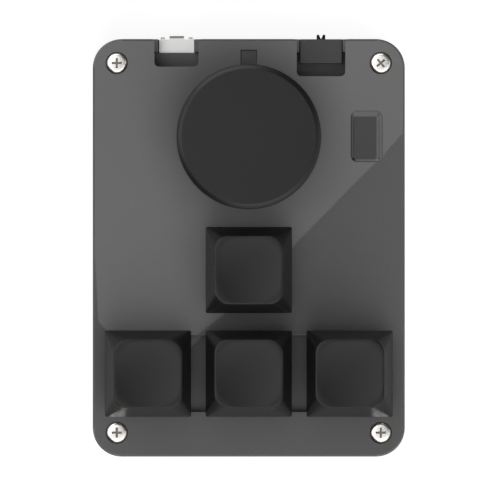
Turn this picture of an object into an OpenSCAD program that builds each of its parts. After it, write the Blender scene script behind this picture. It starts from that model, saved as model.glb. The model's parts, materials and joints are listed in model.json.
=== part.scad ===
// Macro keypad: four arrow keys, a push-and-turn dial, a mode button and a power slide
// in a screwed two-piece case with its own battery. Millimetres, +Z up, and the origin
// is on the table under the centre of the case. +Y is the edge with the connector.

/* [Case] */
// Width of the case
case_w = 65; // [58.5:0.5:76]
// Depth of the case, from front edge to connector edge
case_d = 87; // [78.5:0.5:100]
// Corner radius of the case in plan
case_corner_r = 6; // [5:0.5:8]
// Thickness of the side walls
wall_t = 2.5; // [2:0.1:2.7]
// Thickness of the case floor
floor_t = 2; // [1.5:0.1:4]
// Bevel on the lower outer edge of the case
case_bevel = 0.8; // [0.2:0.1:1.2]
// Thickness of the top cover
cover_t = 3; // [2.4:0.1:3.4]
// Bevel on the outer edge of the top cover
cover_bevel = 0.4; // [0.1:0.1:0.8]
// Depth of the sunk areas that hold the key switches
recess_depth = 1.5; // [1:0.1:1.6]
// Width of the sunk area around a row of key switches
recess_w = 16; // [15.8:0.1:17]
// Length of the two ribs that centre the cover in the case
rib_l = 24; // [10:1:26]
// Height of the two centring ribs
rib_h = 1.5; // [0.8:0.1:2]
// Thickness of the two centring ribs
rib_t = 0.9; // [0.6:0.1:1]

/* [Screws and feet] */
// Distance from the case edges to the cover screws
screw_inset = 5; // [4.6:0.1:5.5]
// Thread diameter of the screws
screw_d = 2; // [1.6:0.1:2.2]
// Length of the cover screws under the head
cover_screw_l = 7; // [5:0.5:8]
// Length of the circuit board screws under the head
board_screw_l = 5; // [4:0.5:7]
// Diameter of the screw heads
head_d = 4; // [3.4:0.1:4.2]
// Height of the screw heads
head_h = 1.3; // [1:0.1:1.6]
// Depth of the counterbore around each cover screw
counterbore_depth = 1; // [0.5:0.1:1.5]
// Outer diameter of the threaded inserts
insert_d = 3.2; // [2.8:0.1:3.4]
// Length of the threaded inserts
insert_l = 4; // [3:0.5:6]
// Wall around a threaded insert
post_wall = 1.6; // [1.2:0.1:1.7]
// Diameter of the rubber feet
foot_d = 8; // [6:0.5:10]
// How far the feet stand below the case
foot_proud = 1; // [0.5:0.1:2]
// How deep the feet sit in the case
foot_sink = 0.5; // [0.3:0.1:0.9]
// Distance from the side edges to the middle of a foot
foot_inset_x = 8.5; // [7:0.5:11]
// Distance from the front and rear edges to the middle of a foot
foot_inset_y = 13; // [11:0.5:16]

/* [Circuit board] */
// Height of the board's underside above the case floor
board_lift = 8; // [7.5:0.1:10]
// Thickness of the circuit board
board_t = 1.6; // [1.2:0.1:2]
// Diameter of the bosses under the board
boss_d = 5.2; // [4.6:0.1:5.6]
// Distance from the side edges to the board screws
boss_inset_x = 6.5; // [6:0.1:7]
// Distance from the rear edge to the rear pair of board screws
boss_rear_y = 11.6; // [11.4:0.1:12]
// Distance from the front edge to the front pair of board screws
boss_front_y = 30.5; // [30:0.1:34]

/* [Battery and electronics] */
// Width of the battery cell
battery_w = 34; // [20:1:38]
// Length of the battery cell
battery_l = 50; // [30:1:54]
// Thickness of the battery cell
battery_t = 5; // [3:0.1:5.2]
// Thickness of the foam pad under the battery
pad_t = 0.4; // [0.2:0.1:0.6]
// Diameter of the battery leads
lead_d = 1.2; // [0.8:0.1:1.4]
// Width of the radio board
radio_w = 13.2; // [10:0.1:14]
// Length of the radio board
radio_l = 17; // [14:0.5:19]
// Thickness of the radio board
radio_t = 0.8; // [0.6:0.1:1]
// Height of the shield on the radio board
shield_h = 1.6; // [1:0.1:1.8]

/* [Keys] */
// Distance between neighbouring keys in the lower row, as a share of the case width
key_share = 0.323; // [0.315:0.001:0.33]
// Distance from the front edge to the middle of the lower row, as a share of the case depth
row_share = 0.199; // [0.196:0.001:0.215]
// Distance from the lower row to the upper key, as a share of the case depth
step_share = 0.248; // [0.245:0.001:0.26]
// Width of a keycap at its skirt
cap_w = 18; // [17.6:0.1:18.6]
// Width of a keycap's top
cap_top_w = 14.2; // [13.4:0.1:15]
// Corner radius of a keycap's top
cap_top_r = 3; // [2:0.1:4]
// Height of a keycap
cap_h = 9; // [8.6:0.1:11]
// Thickness of a keycap's walls
cap_wall = 1.2; // [1:0.05:1.3]
// Thickness of a keycap's top under the middle of its hollow
cap_top_t = 1.4; // [1:0.1:1.8]
// Depth of the hollow in a keycap's top
dish_depth = 0.5; // [0.2:0.05:0.7]
// Radius of the round surface that hollows a keycap's top
dish_r = 60; // [40:1:90]
// How far a key travels
key_travel = 4; // [3:0.1:4]
// Gap between a keycap's skirt and the cover with the key pressed down
cap_rest_gap = 0.5; // [0.3:0.1:1.2]

/* [Key switches] */
// Height of a switch from the circuit board to its seat in the cover
switch_seat_h = 5; // [4.9:0.1:5.6]
// Width of the part of a switch that passes through the cover
switch_w = 13.9; // [13.6:0.05:14]
// Gap on each side of a switch in its hole
switch_gap = 0.05; // [0.05:0.05:0.2]
// Width of the flange of a switch
flange_w = 15.6; // [15:0.1:15.6]
// Thickness of the flange of a switch
flange_t = 1; // [0.8:0.1:1.2]
// Width of the upper housing where it meets the flange
upper_w = 14.4; // [14:0.1:14.6]
// Width of the upper housing at its top
upper_top_w = 11; // [10.6:0.1:11.6]
// Height of the upper housing
upper_h = 5.6; // [5.4:0.1:6]
// Thickness of the walls of a switch
switch_wall = 1.3; // [1:0.1:1.4]
// Width of a stem's block
stem_w = 7; // [6.6:0.1:7.2]
// Depth of a stem's block
stem_d = 5.8; // [5.6:0.1:6]
// Gap around a stem where it slides
stem_gap = 0.2; // [0.1:0.05:0.3]
// Length of the arms of a stem's cross
cross_l = 4; // [3.8:0.05:4.1]
// Thickness of the arms of a stem's cross
cross_t = 1.2; // [1:0.05:1.3]
// Height of a stem's cross
cross_h = 3.6; // [3:0.1:3.8]
// Gap between a stem's cross and its socket in the keycap
cross_gap = 0.05; // [0.03:0.01:0.08]
// Diameter of a stem's guide pin
guide_d = 3; // [2.6:0.1:3.2]
// Gap around a stem's guide pin
guide_gap = 0.2; // [0.1:0.05:0.3]
// Wire diameter of a return spring
spring_wire = 0.3; // [0.2:0.05:0.35]
// Number of turns of a return spring
spring_turns = 7; // [5:1:7]

/* [Dial] */
// Diameter of the dial knob at its foot
knob_d = 30.1; // [26:0.1:33]
// Diameter of the dial knob's top face
knob_top_d = 28; // [24:0.1:29]
// Height of the dial knob
knob_h = 15.7; // [13.5:0.1:20]
// Thickness of the knob's wall and top
knob_wall = 2; // [1.4:0.1:2.4]
// Bevel on the knob's top edge
knob_bevel = 0.7; // [0.2:0.1:0.8]
// Gap between the knob and the cover
knob_gap = 1.2; // [0.9:0.1:2]
// How far the dial can be pressed
knob_press = 0.5; // [0.3:0.1:0.6]
// Distance from the rear edge to the dial's axis, as a share of the case depth
knob_share = 0.2345; // [0.22:0.0005:0.24]
// Diameter of the dial's shaft
shaft_d = 6; // [5.6:0.1:6.2]
// Depth of the flat on the dial's shaft
shaft_flat = 1.5; // [1:0.1:1.8]
// Radial gap of the shaft in its bush
shaft_gap = 0.05; // [0.03:0.01:0.08]
// Width of the square encoder body
encoder_w = 12; // [11.6:0.1:12.4]
// Height of the encoder's plastic base
encoder_base_h = 4.2; // [4:0.1:4.6]
// Thickness of the encoder's metal bracket
bracket_t = 0.6; // [0.4:0.1:0.8]
// Outer diameter of the encoder's bush
bush_d = 7; // [6.8:0.1:7.4]
// Height of the encoder's bush above its bracket
bush_h = 6.4; // [5.5:0.1:6.8]
// Diameter of the encoder's rotor
rotor_d = 9; // [8.6:0.1:9.2]
// Gap on each side of the encoder in its hole in the cover
encoder_gap = 0.4; // [0.2:0.1:0.6]

/* [Connector and power switch] */
// Distance from the middle of the case to the connector, and to the power switch
port_x = 15.05; // [14:0.05:16]
// Width of the connector's shell
shell_w = 7.4; // [7:0.1:7.8]
// Height of the connector's shell
shell_h = 2.6; // [2.4:0.1:3]
// Length of the connector's shell without its flared lips
shell_l = 5.4; // [5:0.1:6.5]
// Thickness of the connector's sheet metal
shell_t = 0.3; // [0.2:0.05:0.35]
// How far the connector reaches beyond the case edge
shell_out = 0.8; // [0.5:0.1:1]
// Width of the notch for the connector
port_notch_w = 9.2; // [8.8:0.1:9.8]
// Depth of the notch for the connector
port_notch_d = 5.75; // [4:0.05:6.5]
// Width of the power switch's body
slider_w = 8.8; // [8:0.1:9]
// Depth of the power switch's body
slider_d = 5.1; // [4.6:0.1:6]
// Height of the power switch's body
slider_h = 3.5; // [3:0.1:4]
// Width of the notch for the power switch
slider_notch_w = 10.1; // [9.6:0.1:10.8]
// Depth of the notch for the power switch
slider_notch_d = 7.75; // [6.5:0.05:9]
// Corner radius at the bottom of the two notches
notch_r = 1; // [0.5:0.1:1.5]
// Width of the power switch's lever
lever_w = 1.8; // [1.6:0.1:2.2]
// Height of the power switch's lever
lever_h = 1.6; // [1.2:0.1:1.8]
// How far the lever reaches beyond the case edge
lever_out = 0.95; // [0.6:0.05:1.5]
// How far the lever slides each way from the middle
lever_travel = 1; // [0.8:0.1:1.2]
// Gap around the lever in the switch
lever_gap = 0.1; // [0.05:0.05:0.15]

/* [Mode button and light] */
// Width of the mode button
button_w = 6.2; // [5:0.1:6.6]
// Length of the mode button
button_l = 10.3; // [8:0.1:12]
// Corner radius of the mode button
button_r = 1.2; // [0.6:0.1:2]
// Bevel on the mode button's top edge
button_bevel = 0.6; // [0.2:0.1:0.8]
// How far the mode button stands above the cover
button_proud = 0.4; // [0.3:0.1:1]
// How far the mode button can be pressed
button_press = 0.3; // [0.2:0.05:0.3]
// Gap around the mode button in the cover
button_gap = 0.2; // [0.15:0.05:0.3]
// Width of the flange that keeps the mode button in the cover
button_lip = 0.8; // [0.5:0.1:0.9]
// Distance from the side edge to the middle of the mode button
button_side = 7.95; // [7.9:0.05:9]
// Distance from the rear edge to the middle of the mode button, as a share of the case depth
button_share = 0.233; // [0.225:0.001:0.27]
// Width of the square light window
window_w = 3.3; // [2.4:0.1:3.6]
// Distance from the rear edge to the light window
window_rear = 2.3; // [2:0.1:2.6]
// Gap around the light window in the cover
window_gap = 0.05; // [0.05:0.01:0.1]

/* [Hidden] */
$fn = 64;

// Overshoot of cutting shapes, so that no thin skins are left
cut = 1;

// Heights, from the table upwards
z_case = foot_proud;
z_floor = z_case + floor_t;
z_board_low = z_floor + board_lift;
z_board = z_board_low + board_t;
z_seat = z_board + switch_seat_h;
z_cover = z_seat + recess_depth;
z_cover_low = z_cover - cover_t;
z_flange = z_seat + flange_t;
z_switch_top = z_flange + upper_h;
z_cap_low = z_cover + cap_rest_gap + key_travel;
z_cap_top = z_cap_low + cap_h;
z_knob_low = z_cover + knob_gap;
z_knob_top = z_knob_low + knob_h;

// Plan positions
side_x = case_w / 2;
rear_y = case_d / 2;
front_y = -case_d / 2;
inner_x = side_x - wall_t;
inner_y = rear_y - wall_t;
screw_x = side_x - screw_inset;
screw_y = rear_y - screw_inset;
row_y = front_y + row_share * case_d;
up_y = row_y + step_share * case_d;
knob_y = rear_y - knob_share * case_d;
button_x = side_x - button_side;
button_y = rear_y - button_share * case_d;
key_x = key_share * case_w;
KEYS = [[0, up_y], [-key_x, row_y], [0, row_y], [key_x, row_y]];
UP = KEYS[0];
LEFT = KEYS[1];
DOWN = KEYS[2];
RIGHT = KEYS[3];

// Board outline and what it goes round
board_gap = 0.3;
board_x = inner_x - board_gap;
board_y = inner_y - board_gap;
post_d = insert_d + 2 * post_wall;
boss_x = side_x - boss_inset_x;
BOSSES = [for (x = [-boss_x, boss_x], y = [rear_y - boss_rear_y, front_y + boss_front_y]) [x, y]];
SCREWS = [for (x = [-screw_x, screw_x], y = [-screw_y, screw_y]) [x, y]];

// Ribs that start behind the lower row of switches
rib_clear = 0.5;
rib_y = row_y + (switch_w + rib_l) / 2 + rib_clear;

// Corner radius of the sunk areas and of the hole for the encoder
recess_r = 0.5;

// Fits that are not worth changing one by one
screw_fit = 0.05;
insert_fit = 0.03;
screw_hole_d = screw_d + 0.4;
counterbore_d = head_d + 0.6;
insert_low = z_cover_low - insert_l;
post_hole_low = z_cover - counterbore_depth - cover_screw_l - 0.6;

// A flat block with round corners in plan
module plate(w, d, h, r) {
    linear_extrude(h)
        union() {
            square([w - 2 * r, d], center = true);
            square([w, d - 2 * r], center = true);
            for (x = [-1, 1], y = [-1, 1])
                translate([x * (w / 2 - r), y * (d / 2 - r)])
                    circle(r);
        }
}

// The same block with a bevel of size b on its upper edge
module bevelled_plate(w, d, h, r, b) {
    inner_w = w - 2 * r;
    inner_d = d - 2 * r;
    rotate([90, 0, 0])
        translate([0, 0, -inner_d / 2])
            linear_extrude(inner_d)
                bevel_section(w / 2, h, b);
    rotate([90, 0, 90])
        translate([0, 0, -inner_w / 2])
            linear_extrude(inner_w)
                bevel_section(d / 2, h, b);
    for (x = [-1, 1], y = [-1, 1])
        translate([x * inner_w / 2, y * inner_d / 2, 0])
            rotate_extrude()
                polygon([[0, 0], [r, 0], [r, h - b], [r - b, h], [0, h]]);
}

// Section of a plate that is bevelled at both upper edges
module bevel_section(half, h, b) {
    polygon([[-half, 0], [half, 0], [half, h - b], [half - b, h], [b - half, h], [-half, h - b]]);
}

// A notch in the rear edge of the case, with round inner corners
module rear_notch(x, w, depth, z, h) {
    translate([x, rear_y - depth, z])
        linear_extrude(h)
            union() {
                translate([-w / 2, notch_r])
                    square([w, depth - notch_r + cut]);
                translate([-w / 2 + notch_r, 0])
                    square([w - 2 * notch_r, depth]);
                for (side = [-1, 1])
                    translate([side * (w / 2 - notch_r), notch_r])
                        circle(notch_r);
            }
}

module tube(d_out, d_in, h) {
    difference() {
        cylinder(d = d_out, h = h);
        translate([0, 0, -cut])
            cylinder(d = d_in, h = h + 2 * cut);
    }
}

// Bottom case: floor, walls, screw posts, board bosses and seats for the feet

module bottom_case() {
    color("#5a5a5a")
        difference() {
            union() {
                difference() {
                    case_outside();
                    translate([0, 0, z_floor])
                        plate(2 * inner_x, 2 * inner_y, z_cover_low, case_corner_r - wall_t);
                }
                intersection() {
                    case_outside();
                    for (p = SCREWS)
                        translate([p.x, p.y, z_case])
                            cylinder(d = post_d, h = z_cover_low - z_case);
                }
                for (p = BOSSES)
                    translate([p.x, p.y, z_case])
                        cylinder(d = boss_d, h = z_board_low - z_case);
            }
            for (p = SCREWS)
                translate([p.x, p.y, 0]) {
                    translate([0, 0, post_hole_low])
                        cylinder(d = screw_hole_d, h = z_cover_low);
                    translate([0, 0, insert_low])
                        cylinder(d = insert_d + 2 * insert_fit, h = insert_l + cut);
                }
            for (p = BOSSES)
                translate([p.x, p.y, z_board - board_screw_l - 0.4])
                    cylinder(d = screw_d + 2 * screw_fit, h = board_screw_l);
            foot_places()
                translate([0, 0, z_case - cut])
                    cylinder(d = foot_d + 0.3, h = foot_sink + cut);
            rear_notch(-port_x, port_notch_w, wall_t + cut, z_board_low - shell_h - 0.6, z_cover);
            rear_notch(port_x, slider_notch_w, wall_t + cut, z_board - 0.5, z_cover);
        }
}

module case_outside() {
    translate([0, 0, z_cover_low])
        mirror([0, 0, 1])
            bevelled_plate(case_w, case_d, z_cover_low - z_case, case_corner_r, case_bevel);
}

module foot_places() {
    for (x = [-1, 1], y = [-1, 1])
        translate([x * (side_x - foot_inset_x), y * (rear_y - foot_inset_y), 0])
            children();
}

module rubber_feet() {
    color("#242424")
        foot_places()
            rotate_extrude()
                polygon([[0, 0], [foot_d / 2 - 0.3, 0], [foot_d / 2, 0.3],
                         [foot_d / 2, foot_proud + foot_sink], [0, foot_proud + foot_sink]]);
}

// Top cover: seats for the switches, holes for the controls and the two ribs

module top_cover() {
    color("#666666")
        difference() {
            union() {
                translate([0, 0, z_cover_low])
                    bevelled_plate(case_w, case_d, cover_t, case_corner_r, cover_bevel);
                for (side = [-1, 1])
                    translate([side * (board_x - rib_t / 2), rib_y, z_cover_low - rib_h])
                        linear_extrude(rib_h + cut)
                            square([rib_t, rib_l], center = true);
            }
            translate([0, up_y, z_seat])
                plate(recess_w, recess_w, recess_depth + cut, recess_r);
            translate([0, row_y, z_seat])
                plate(2 * key_x + recess_w, recess_w, recess_depth + cut, recess_r);
            for (p = KEYS)
                translate([p.x, p.y, z_cover_low - cut])
                    linear_extrude(cover_t + 2 * cut)
                        square(switch_w + 2 * switch_gap, center = true);
            translate([0, knob_y, z_cover_low - cut])
                plate(encoder_hole_w, encoder_hole_w, cover_t + 2 * cut, recess_r);
            for (p = SCREWS)
                translate([p.x, p.y, 0]) {
                    translate([0, 0, z_cover_low - cut])
                        cylinder(d = screw_hole_d, h = cover_t + 2 * cut);
                    translate([0, 0, z_cover - counterbore_depth])
                        cylinder(d = counterbore_d, h = counterbore_depth + cut);
                }
            rear_notch(-port_x, port_notch_w, port_notch_d, z_cover_low - cut, cover_t + 2 * cut);
            rear_notch(port_x, slider_notch_w, slider_notch_d, z_cover_low - cut, cover_t + 2 * cut);
            translate([button_x, button_y, z_cover_low - cut])
                plate(button_w + 2 * button_gap, button_l + 2 * button_gap, cover_t + 2 * cut,
                      button_r + button_gap);
            translate([0, window_y, z_cover_low - cut])
                linear_extrude(cover_t + 2 * cut)
                    square(window_w + 2 * window_gap, center = true);
        }
}

// Screws and threaded inserts

module pan_screw(length) {
    difference() {
        union() {
            rotate_extrude()
                polygon([[0, 0], [head_d / 2, 0], [head_d / 2, head_h * 0.55],
                         [head_d / 2 - 0.45, head_h], [0, head_h]]);
            translate([0, 0, -length])
                cylinder(d = screw_d, h = length + head_h / 2);
        }
        for (a = [0, 90])
            rotate([0, 0, a])
                translate([0, 0, head_h])
                    cube([head_d * 0.55, head_d * 0.13, head_h], center = true);
    }
}

module cover_screws() {
    color("#dadada")
        for (p = SCREWS)
            translate([p.x, p.y, z_cover - counterbore_depth])
                rotate([0, 0, p == SCREWS[3] ? 40 : 0])
                    pan_screw(cover_screw_l);
}

module threaded_inserts() {
    color("#c9a24a")
        for (p = SCREWS)
            translate([p.x, p.y, insert_low])
                tube(insert_d, screw_d + 2 * screw_fit, insert_l);
}

module board_screws() {
    color("#bdbdbd")
        for (p = BOSSES)
            translate([p.x, p.y, z_board])
                pan_screw(board_screw_l);
}

// Circuit board with relief round the posts and holes for what passes through

post_relief = screw_inset + post_d / 2 - wall_t + board_gap;

module main_board() {
    color("#1f3a2c")
        difference() {
            translate([0, 0, z_board_low])
                linear_extrude(board_t)
                    square([2 * board_x, 2 * board_y], center = true);
            for (x = [-1, 1], y = [-1, 1])
                translate([x * inner_x, y * inner_y, z_board_low - cut])
                    linear_extrude(board_t + 2 * cut)
                        square(2 * post_relief, center = true);
            for (p = BOSSES)
                translate([p.x, p.y, z_board_low - cut])
                    cylinder(d = screw_hole_d, h = board_t + 2 * cut);
            for (p = KEYS)
                translate([p.x, p.y, z_board_low - cut]) {
                    cylinder(d = locator_d + 0.2, h = board_t + 2 * cut);
                    for (q = PINS)
                        translate([q.x, q.y, 0])
                            cylinder(d = pin_d + 0.2, h = board_t + 2 * cut);
                }
            translate([0, knob_y, z_board_low - cut])
                for (x = ENCODER_PINS)
                    translate([x.x, x.y, 0])
                        cylinder(d = lead_pin_d + 0.2, h = board_t + 2 * cut);
            for (x = SLIDER_PINS)
                translate([port_x + x, slider_pin_y, z_board_low - cut])
                    cylinder(d = lead_pin_d + 0.2, h = board_t + 2 * cut);
        }
}

// Battery on its pad, with two leads to a plug in a socket under the board

battery_rear = 19.5;
pad_margin = 2;
battery_y = rear_y - battery_rear - battery_l / 2;
lead_reach = 6;
plug_inset = 5;
plug_x = battery_w / 2 - plug_inset;
plug_w = 4.4;
plug_h = 3;
plug_l = 5;
socket_wall = 0.7;
plug_fit = 0.1;
plug_rear = battery_y + battery_l / 2 + lead_reach;
plug_z = z_board_low - socket_wall - plug_fit - plug_h / 2;
z_battery = z_floor + pad_t;
lead_pitch = 2;
lead_z = z_battery + battery_t / 2;

module battery_pad() {
    color("#e8e4d8")
        translate([0, battery_y, z_floor])
            linear_extrude(pad_t)
                square([battery_w - 2 * pad_margin, battery_l - 3 * pad_margin], center = true);
}

module battery_cell() {
    color("#c4c6c8")
        translate([0, battery_y, z_battery])
            plate(battery_w, battery_l, battery_t, 1.5);
}

// A tube swept along points that lie in a plane of constant x
module swept_tube(points, d, sides) {
    last = len(points) - 1;
    rings = [for (i = [0:last])
        let (ahead = points[min(i + 1, last)] - points[max(i - 1, 0)], t = ahead / norm(ahead))
            for (k = [0:sides - 1])
                let (b = 360 * k / sides)
                    points[i] + d / 2 * [cos(b), -t.z * sin(b), t.y * sin(b)]];
    walls = [for (i = [0:last - 1], k = [0:sides - 1])
        let (a = i * sides + k, b = i * sides + (k + 1) % sides)
            each [[a, b, a + sides], [b, b + sides, a + sides]]];
    first_end = [for (k = [1:sides - 2]) [0, k + 1, k]];
    last_end = [for (k = [1:sides - 2]) let (n = last * sides) [n, n + k, n + k + 1]];
    polyhedron(rings, concat(walls, first_end, last_end));
}

// A lead leaves the cell level, climbs in an easy double bend and enters the plug level
module battery_lead(x) {
    start_y = battery_y + battery_l / 2;
    straight = 0.6;
    steps = 14;
    climb = [for (i = [0:steps])
        let (t = i / steps)
            [x, start_y + straight + (plug_rear - start_y - 2 * straight) * t,
             lead_z + (plug_z - lead_z) * t * t * (3 - 2 * t)]];
    swept_tube(concat([[x, start_y, lead_z]], climb, [[x, plug_rear, plug_z]]), lead_d, 8);
}

module red_lead() {
    color("#b3261e")
        battery_lead(plug_x - lead_pitch / 2);
}

module black_lead() {
    color("#1b1b1b")
        battery_lead(plug_x + lead_pitch / 2);
}

module battery_plug() {
    color("#eceae2")
        translate([plug_x - plug_w / 2, plug_rear, plug_z - plug_h / 2])
            cube([plug_w, plug_l, plug_h]);
}

module battery_socket() {
    socket_w = plug_w + 2 * (plug_fit + socket_wall);
    socket_h = plug_h + 2 * (plug_fit + socket_wall);
    color("#e2dfd4")
        difference() {
            translate([plug_x - socket_w / 2, plug_rear + 1, z_board_low - socket_h])
                cube([socket_w, plug_l + plug_fit + socket_wall - 1, socket_h]);
            translate([plug_x - plug_w / 2 - plug_fit, plug_rear, plug_z - plug_h / 2 - plug_fit])
                cube([plug_w + 2 * plug_fit, plug_l + plug_fit, plug_h + 2 * plug_fit]);
        }
}

// Radio board under its shield, chips, small parts and the status light

radio_side = 1.5;
radio_x = -board_x + radio_w / 2 + radio_side;
radio_y = knob_y - radio_l / 2;
shield_margin = 0.8;
aerial_l = 5.8;
chip_t = 1;
charge_chip_w = 4;
main_chip_w = 5;
small_chip_w = 3;
part_w = 1;
part_l = 1.8;
part_t = 0.6;
part_pitch = 2.4;
part_count = 5;
led_w = 2;
led_l = 1.25;

module radio_board() {
    color("#173043")
        translate([radio_x, radio_y, z_board])
            linear_extrude(radio_t)
                square([radio_w, radio_l], center = true);
}

module radio_shield() {
    color("#c8cacb")
        translate([radio_x, radio_y + (shield_margin - aerial_l) / 2, z_board + radio_t])
            plate(radio_w - 2 * shield_margin, radio_l - shield_margin - aerial_l, shield_h, recess_r);
}

module board_chips() {
    color("#262626")
        for (c = [[radio_x, board_y - charge_chip_w, charge_chip_w],
                  [boss_x - main_chip_w, up_y + main_chip_w, main_chip_w],
                  [boss_x - 2.5 * small_chip_w, up_y - small_chip_w, small_chip_w]])
            translate([c.x, c.y, z_board])
                linear_extrude(chip_t)
                    square(c.z, center = true);
}

module small_parts() {
    color("#b59a6a")
        for (i = [0:part_count - 1], row = [[boss_x, up_y + main_chip_w + 3 * part_l],
                                            [-upper_w / 2 - 2 * part_w, up_y - part_l]])
            translate([row.x - part_pitch * i, row.y, z_board])
                linear_extrude(part_t)
                    square([part_w, part_l], center = true);
}

window_y = rear_y - window_rear - window_w / 2;
window_flange_t = 0.7;
led_h = 0.8;
led_shift = 0.5;

module status_led() {
    color("#f2efdc")
        translate([0, window_y - led_shift, z_board])
            linear_extrude(led_h)
                square([led_w, led_l], center = true);
}

// Light window: a clear block in the cover with a flange and a foot over the light
module light_window() {
    color("#3c3e40") {
        translate([0, window_y, z_cover_low])
            linear_extrude(cover_t)
                square(window_w, center = true);
        translate([-window_w / 2 - 0.6, window_y - window_w / 2 - 0.4, z_cover_low - window_flange_t])
            cube([window_w + 1.2, board_y - window_y + window_w / 2 + 0.4, window_flange_t]);
        translate([0, window_y - led_shift, z_board + led_h + 0.3])
            linear_extrude(z_cover_low - z_board - led_h - 0.6)
                square(2.2, center = true);
    }
}

// Connector: a pressed shell with flared lips under the board, a tongue and five contacts

shell_rear = rear_y + shell_out;
lip = 0.4;
lip_w = 3;
side_lip_w = 0.9;
lip_x = 2.9;

module port_at() {
    translate([-port_x, shell_rear - lip, z_board_low - shell_h / 2])
        rotate([90, 0, 0])
            children();
}

// Section of the shell: flat on top, with slanted lower corners
module shell_section(inset) {
    w = shell_w / 2 - inset;
    h = shell_h / 2 - inset;
    polygon([[-w, h], [w, h], [w, -h + 0.8], [w - 0.7, -h], [-w + 0.7, -h], [-w, -h + 0.8]]);
}

module port_shell() {
    color("#cfcfcd")
        port_at() {
            difference() {
                linear_extrude(shell_l)
                    shell_section(0);
                translate([0, 0, -cut])
                    linear_extrude(shell_l - shell_t + cut)
                        shell_section(shell_t);
            }
            for (tab = [[0, lip_w], [-lip_x, side_lip_w], [lip_x, side_lip_w]])
                translate([tab.x - tab.y / 2, shell_h / 2 - shell_t, -lip])
                    cube([tab.y, shell_t, lip + 0.1]);
            translate([-lip_w / 2, -shell_h / 2, -lip])
                cube([lip_w, shell_t, lip + 0.1]);
        }
}

tongue_w = 3.6;
tongue_h = 0.6;
tongue_top = shell_h / 2 - shell_t - 0.35;

module port_tongue() {
    color("#2a2a2a")
        port_at()
            union() {
                translate([-shell_w / 2 + 1.2, -0.55, shell_l - shell_t - 1.2])
                    cube([shell_w - 2.4, tongue_top + 0.55, 1.2]);
                translate([-tongue_w / 2, tongue_top - tongue_h, 0.8])
                    cube([tongue_w, tongue_h, shell_l - shell_t - 1]);
            }
}

module port_contacts() {
    color("#d8b45c")
        port_at()
            for (i = [-2:2])
                translate([i * 0.65 - 0.15, tongue_top - tongue_h - 0.1, 1])
                    cube([0.3, 0.1, shell_l - shell_t - 2.4]);
}

// Rotary encoder: base, bracket, bush, rotor, detent spring, shaft and pins

encoder_hole_w = encoder_w + 2 * (encoder_gap + bracket_t);
leg_margin = 2;
rotor_low = 1.4;
rotor_h = 2;
rotor_top = z_board + rotor_low + 0.1 + rotor_h;
spring_t = 0.2;
z_bracket = z_board + encoder_base_h;
z_bush_top = z_bracket + bracket_t + bush_h;
bush_flange_h = 1.2;
shaft_low = z_board + 0.9;
shaft_top = z_knob_top - knob_wall - 0.3;
lead_pin_d = 0.8;
pin_below = 1.4;
solder_h = 0.9;
ENCODER_PINS = [[-2.5, -encoder_w / 2 + 1], [0, -encoder_w / 2 + 1], [2.5, -encoder_w / 2 + 1],
                [-2.5, encoder_w / 2 - 1], [2.5, encoder_w / 2 - 1]];

module at_dial(z) {
    translate([0, knob_y, z])
        children();
}

module encoder_base() {
    color("#2b2b2b")
        at_dial(z_board)
            difference() {
                linear_extrude(encoder_base_h)
                    square(encoder_w, center = true);
                translate([0, 0, rotor_low])
                    cylinder(d = rotor_d + 0.6, h = encoder_base_h);
                translate([0, 0, shaft_low - z_board - knob_press - 0.1])
                    cylinder(d = shaft_d + 0.6, h = encoder_base_h);
            }
}

module encoder_bracket() {
    color("#b9bbbd")
        at_dial(z_board)
            difference() {
                union() {
                    translate([0, 0, encoder_base_h])
                        linear_extrude(bracket_t)
                            square([encoder_w + 2 * bracket_t, encoder_w], center = true);
                    for (side = [-1, 1])
                        translate([side * (encoder_w + bracket_t) / 2, 0, 0])
                            linear_extrude(encoder_base_h + bracket_t)
                                square([bracket_t, encoder_w - 2 * leg_margin], center = true);
                }
                cylinder(d = bush_d + 0.1, h = encoder_base_h + bracket_t + cut);
            }
}

module encoder_bush() {
    color("#c2c3c4")
        at_dial(z_bracket)
            difference() {
                union() {
                    cylinder(d = bush_d, h = bracket_t + bush_h);
                    translate([0, 0, bracket_t])
                        cylinder(d = bush_d + 2.4, h = bush_flange_h);
                }
                translate([0, 0, -cut])
                    cylinder(d = shaft_d + 2 * shaft_gap, h = bracket_t + bush_h + 2 * cut);
            }
}

// Section of the shaft with its flat, grown by a gap
module shaft_section(gap) {
    difference() {
        circle(d = shaft_d + 2 * gap);
        translate([-shaft_d, shaft_d / 2 - shaft_flat + gap])
            square([2 * shaft_d, shaft_d]);
    }
}

module encoder_rotor() {
    color("#d9d6c8")
        at_dial(z_board + rotor_low + 0.1)
            difference() {
                cylinder(d = rotor_d, h = rotor_h);
                translate([0, 0, -cut])
                    linear_extrude(rotor_h + 2 * cut)
                        shaft_section(shaft_gap);
            }
}

module detent_spring() {
    color("#a8a9aa")
        at_dial(z_bracket - spring_t)
            tube(rotor_d + 0.4, bush_d + 0.8, spring_t);
}

module dial_shaft() {
    color("#d3d4d5")
        at_dial(shaft_low)
            difference() {
                cylinder(d = shaft_d, h = shaft_top - shaft_low);
                translate([-shaft_d, shaft_d / 2 - shaft_flat, -cut])
                    cube([2 * shaft_d, shaft_d, rotor_top + knob_press + 0.1 - shaft_low + cut]);
                translate([-shaft_d, shaft_d / 2 - shaft_flat, z_bush_top + knob_press - shaft_low])
                    cube([2 * shaft_d, shaft_d, shaft_top]);
            }
}

module encoder_pins() {
    color("#cfcfcf")
        at_dial(z_board_low)
            for (p = ENCODER_PINS)
                translate([p.x, p.y, 0])
                    solder_pin(lead_pin_d);
}

// A pin through the board with a cone of solder on its underside
module solder_pin(d) {
    translate([0, 0, -pin_below])
        cylinder(d = d, h = board_t + pin_below);
    translate([0, 0, -solder_h])
        cylinder(d1 = d + 0.2, d2 = d + 1, h = solder_h);
}

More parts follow.
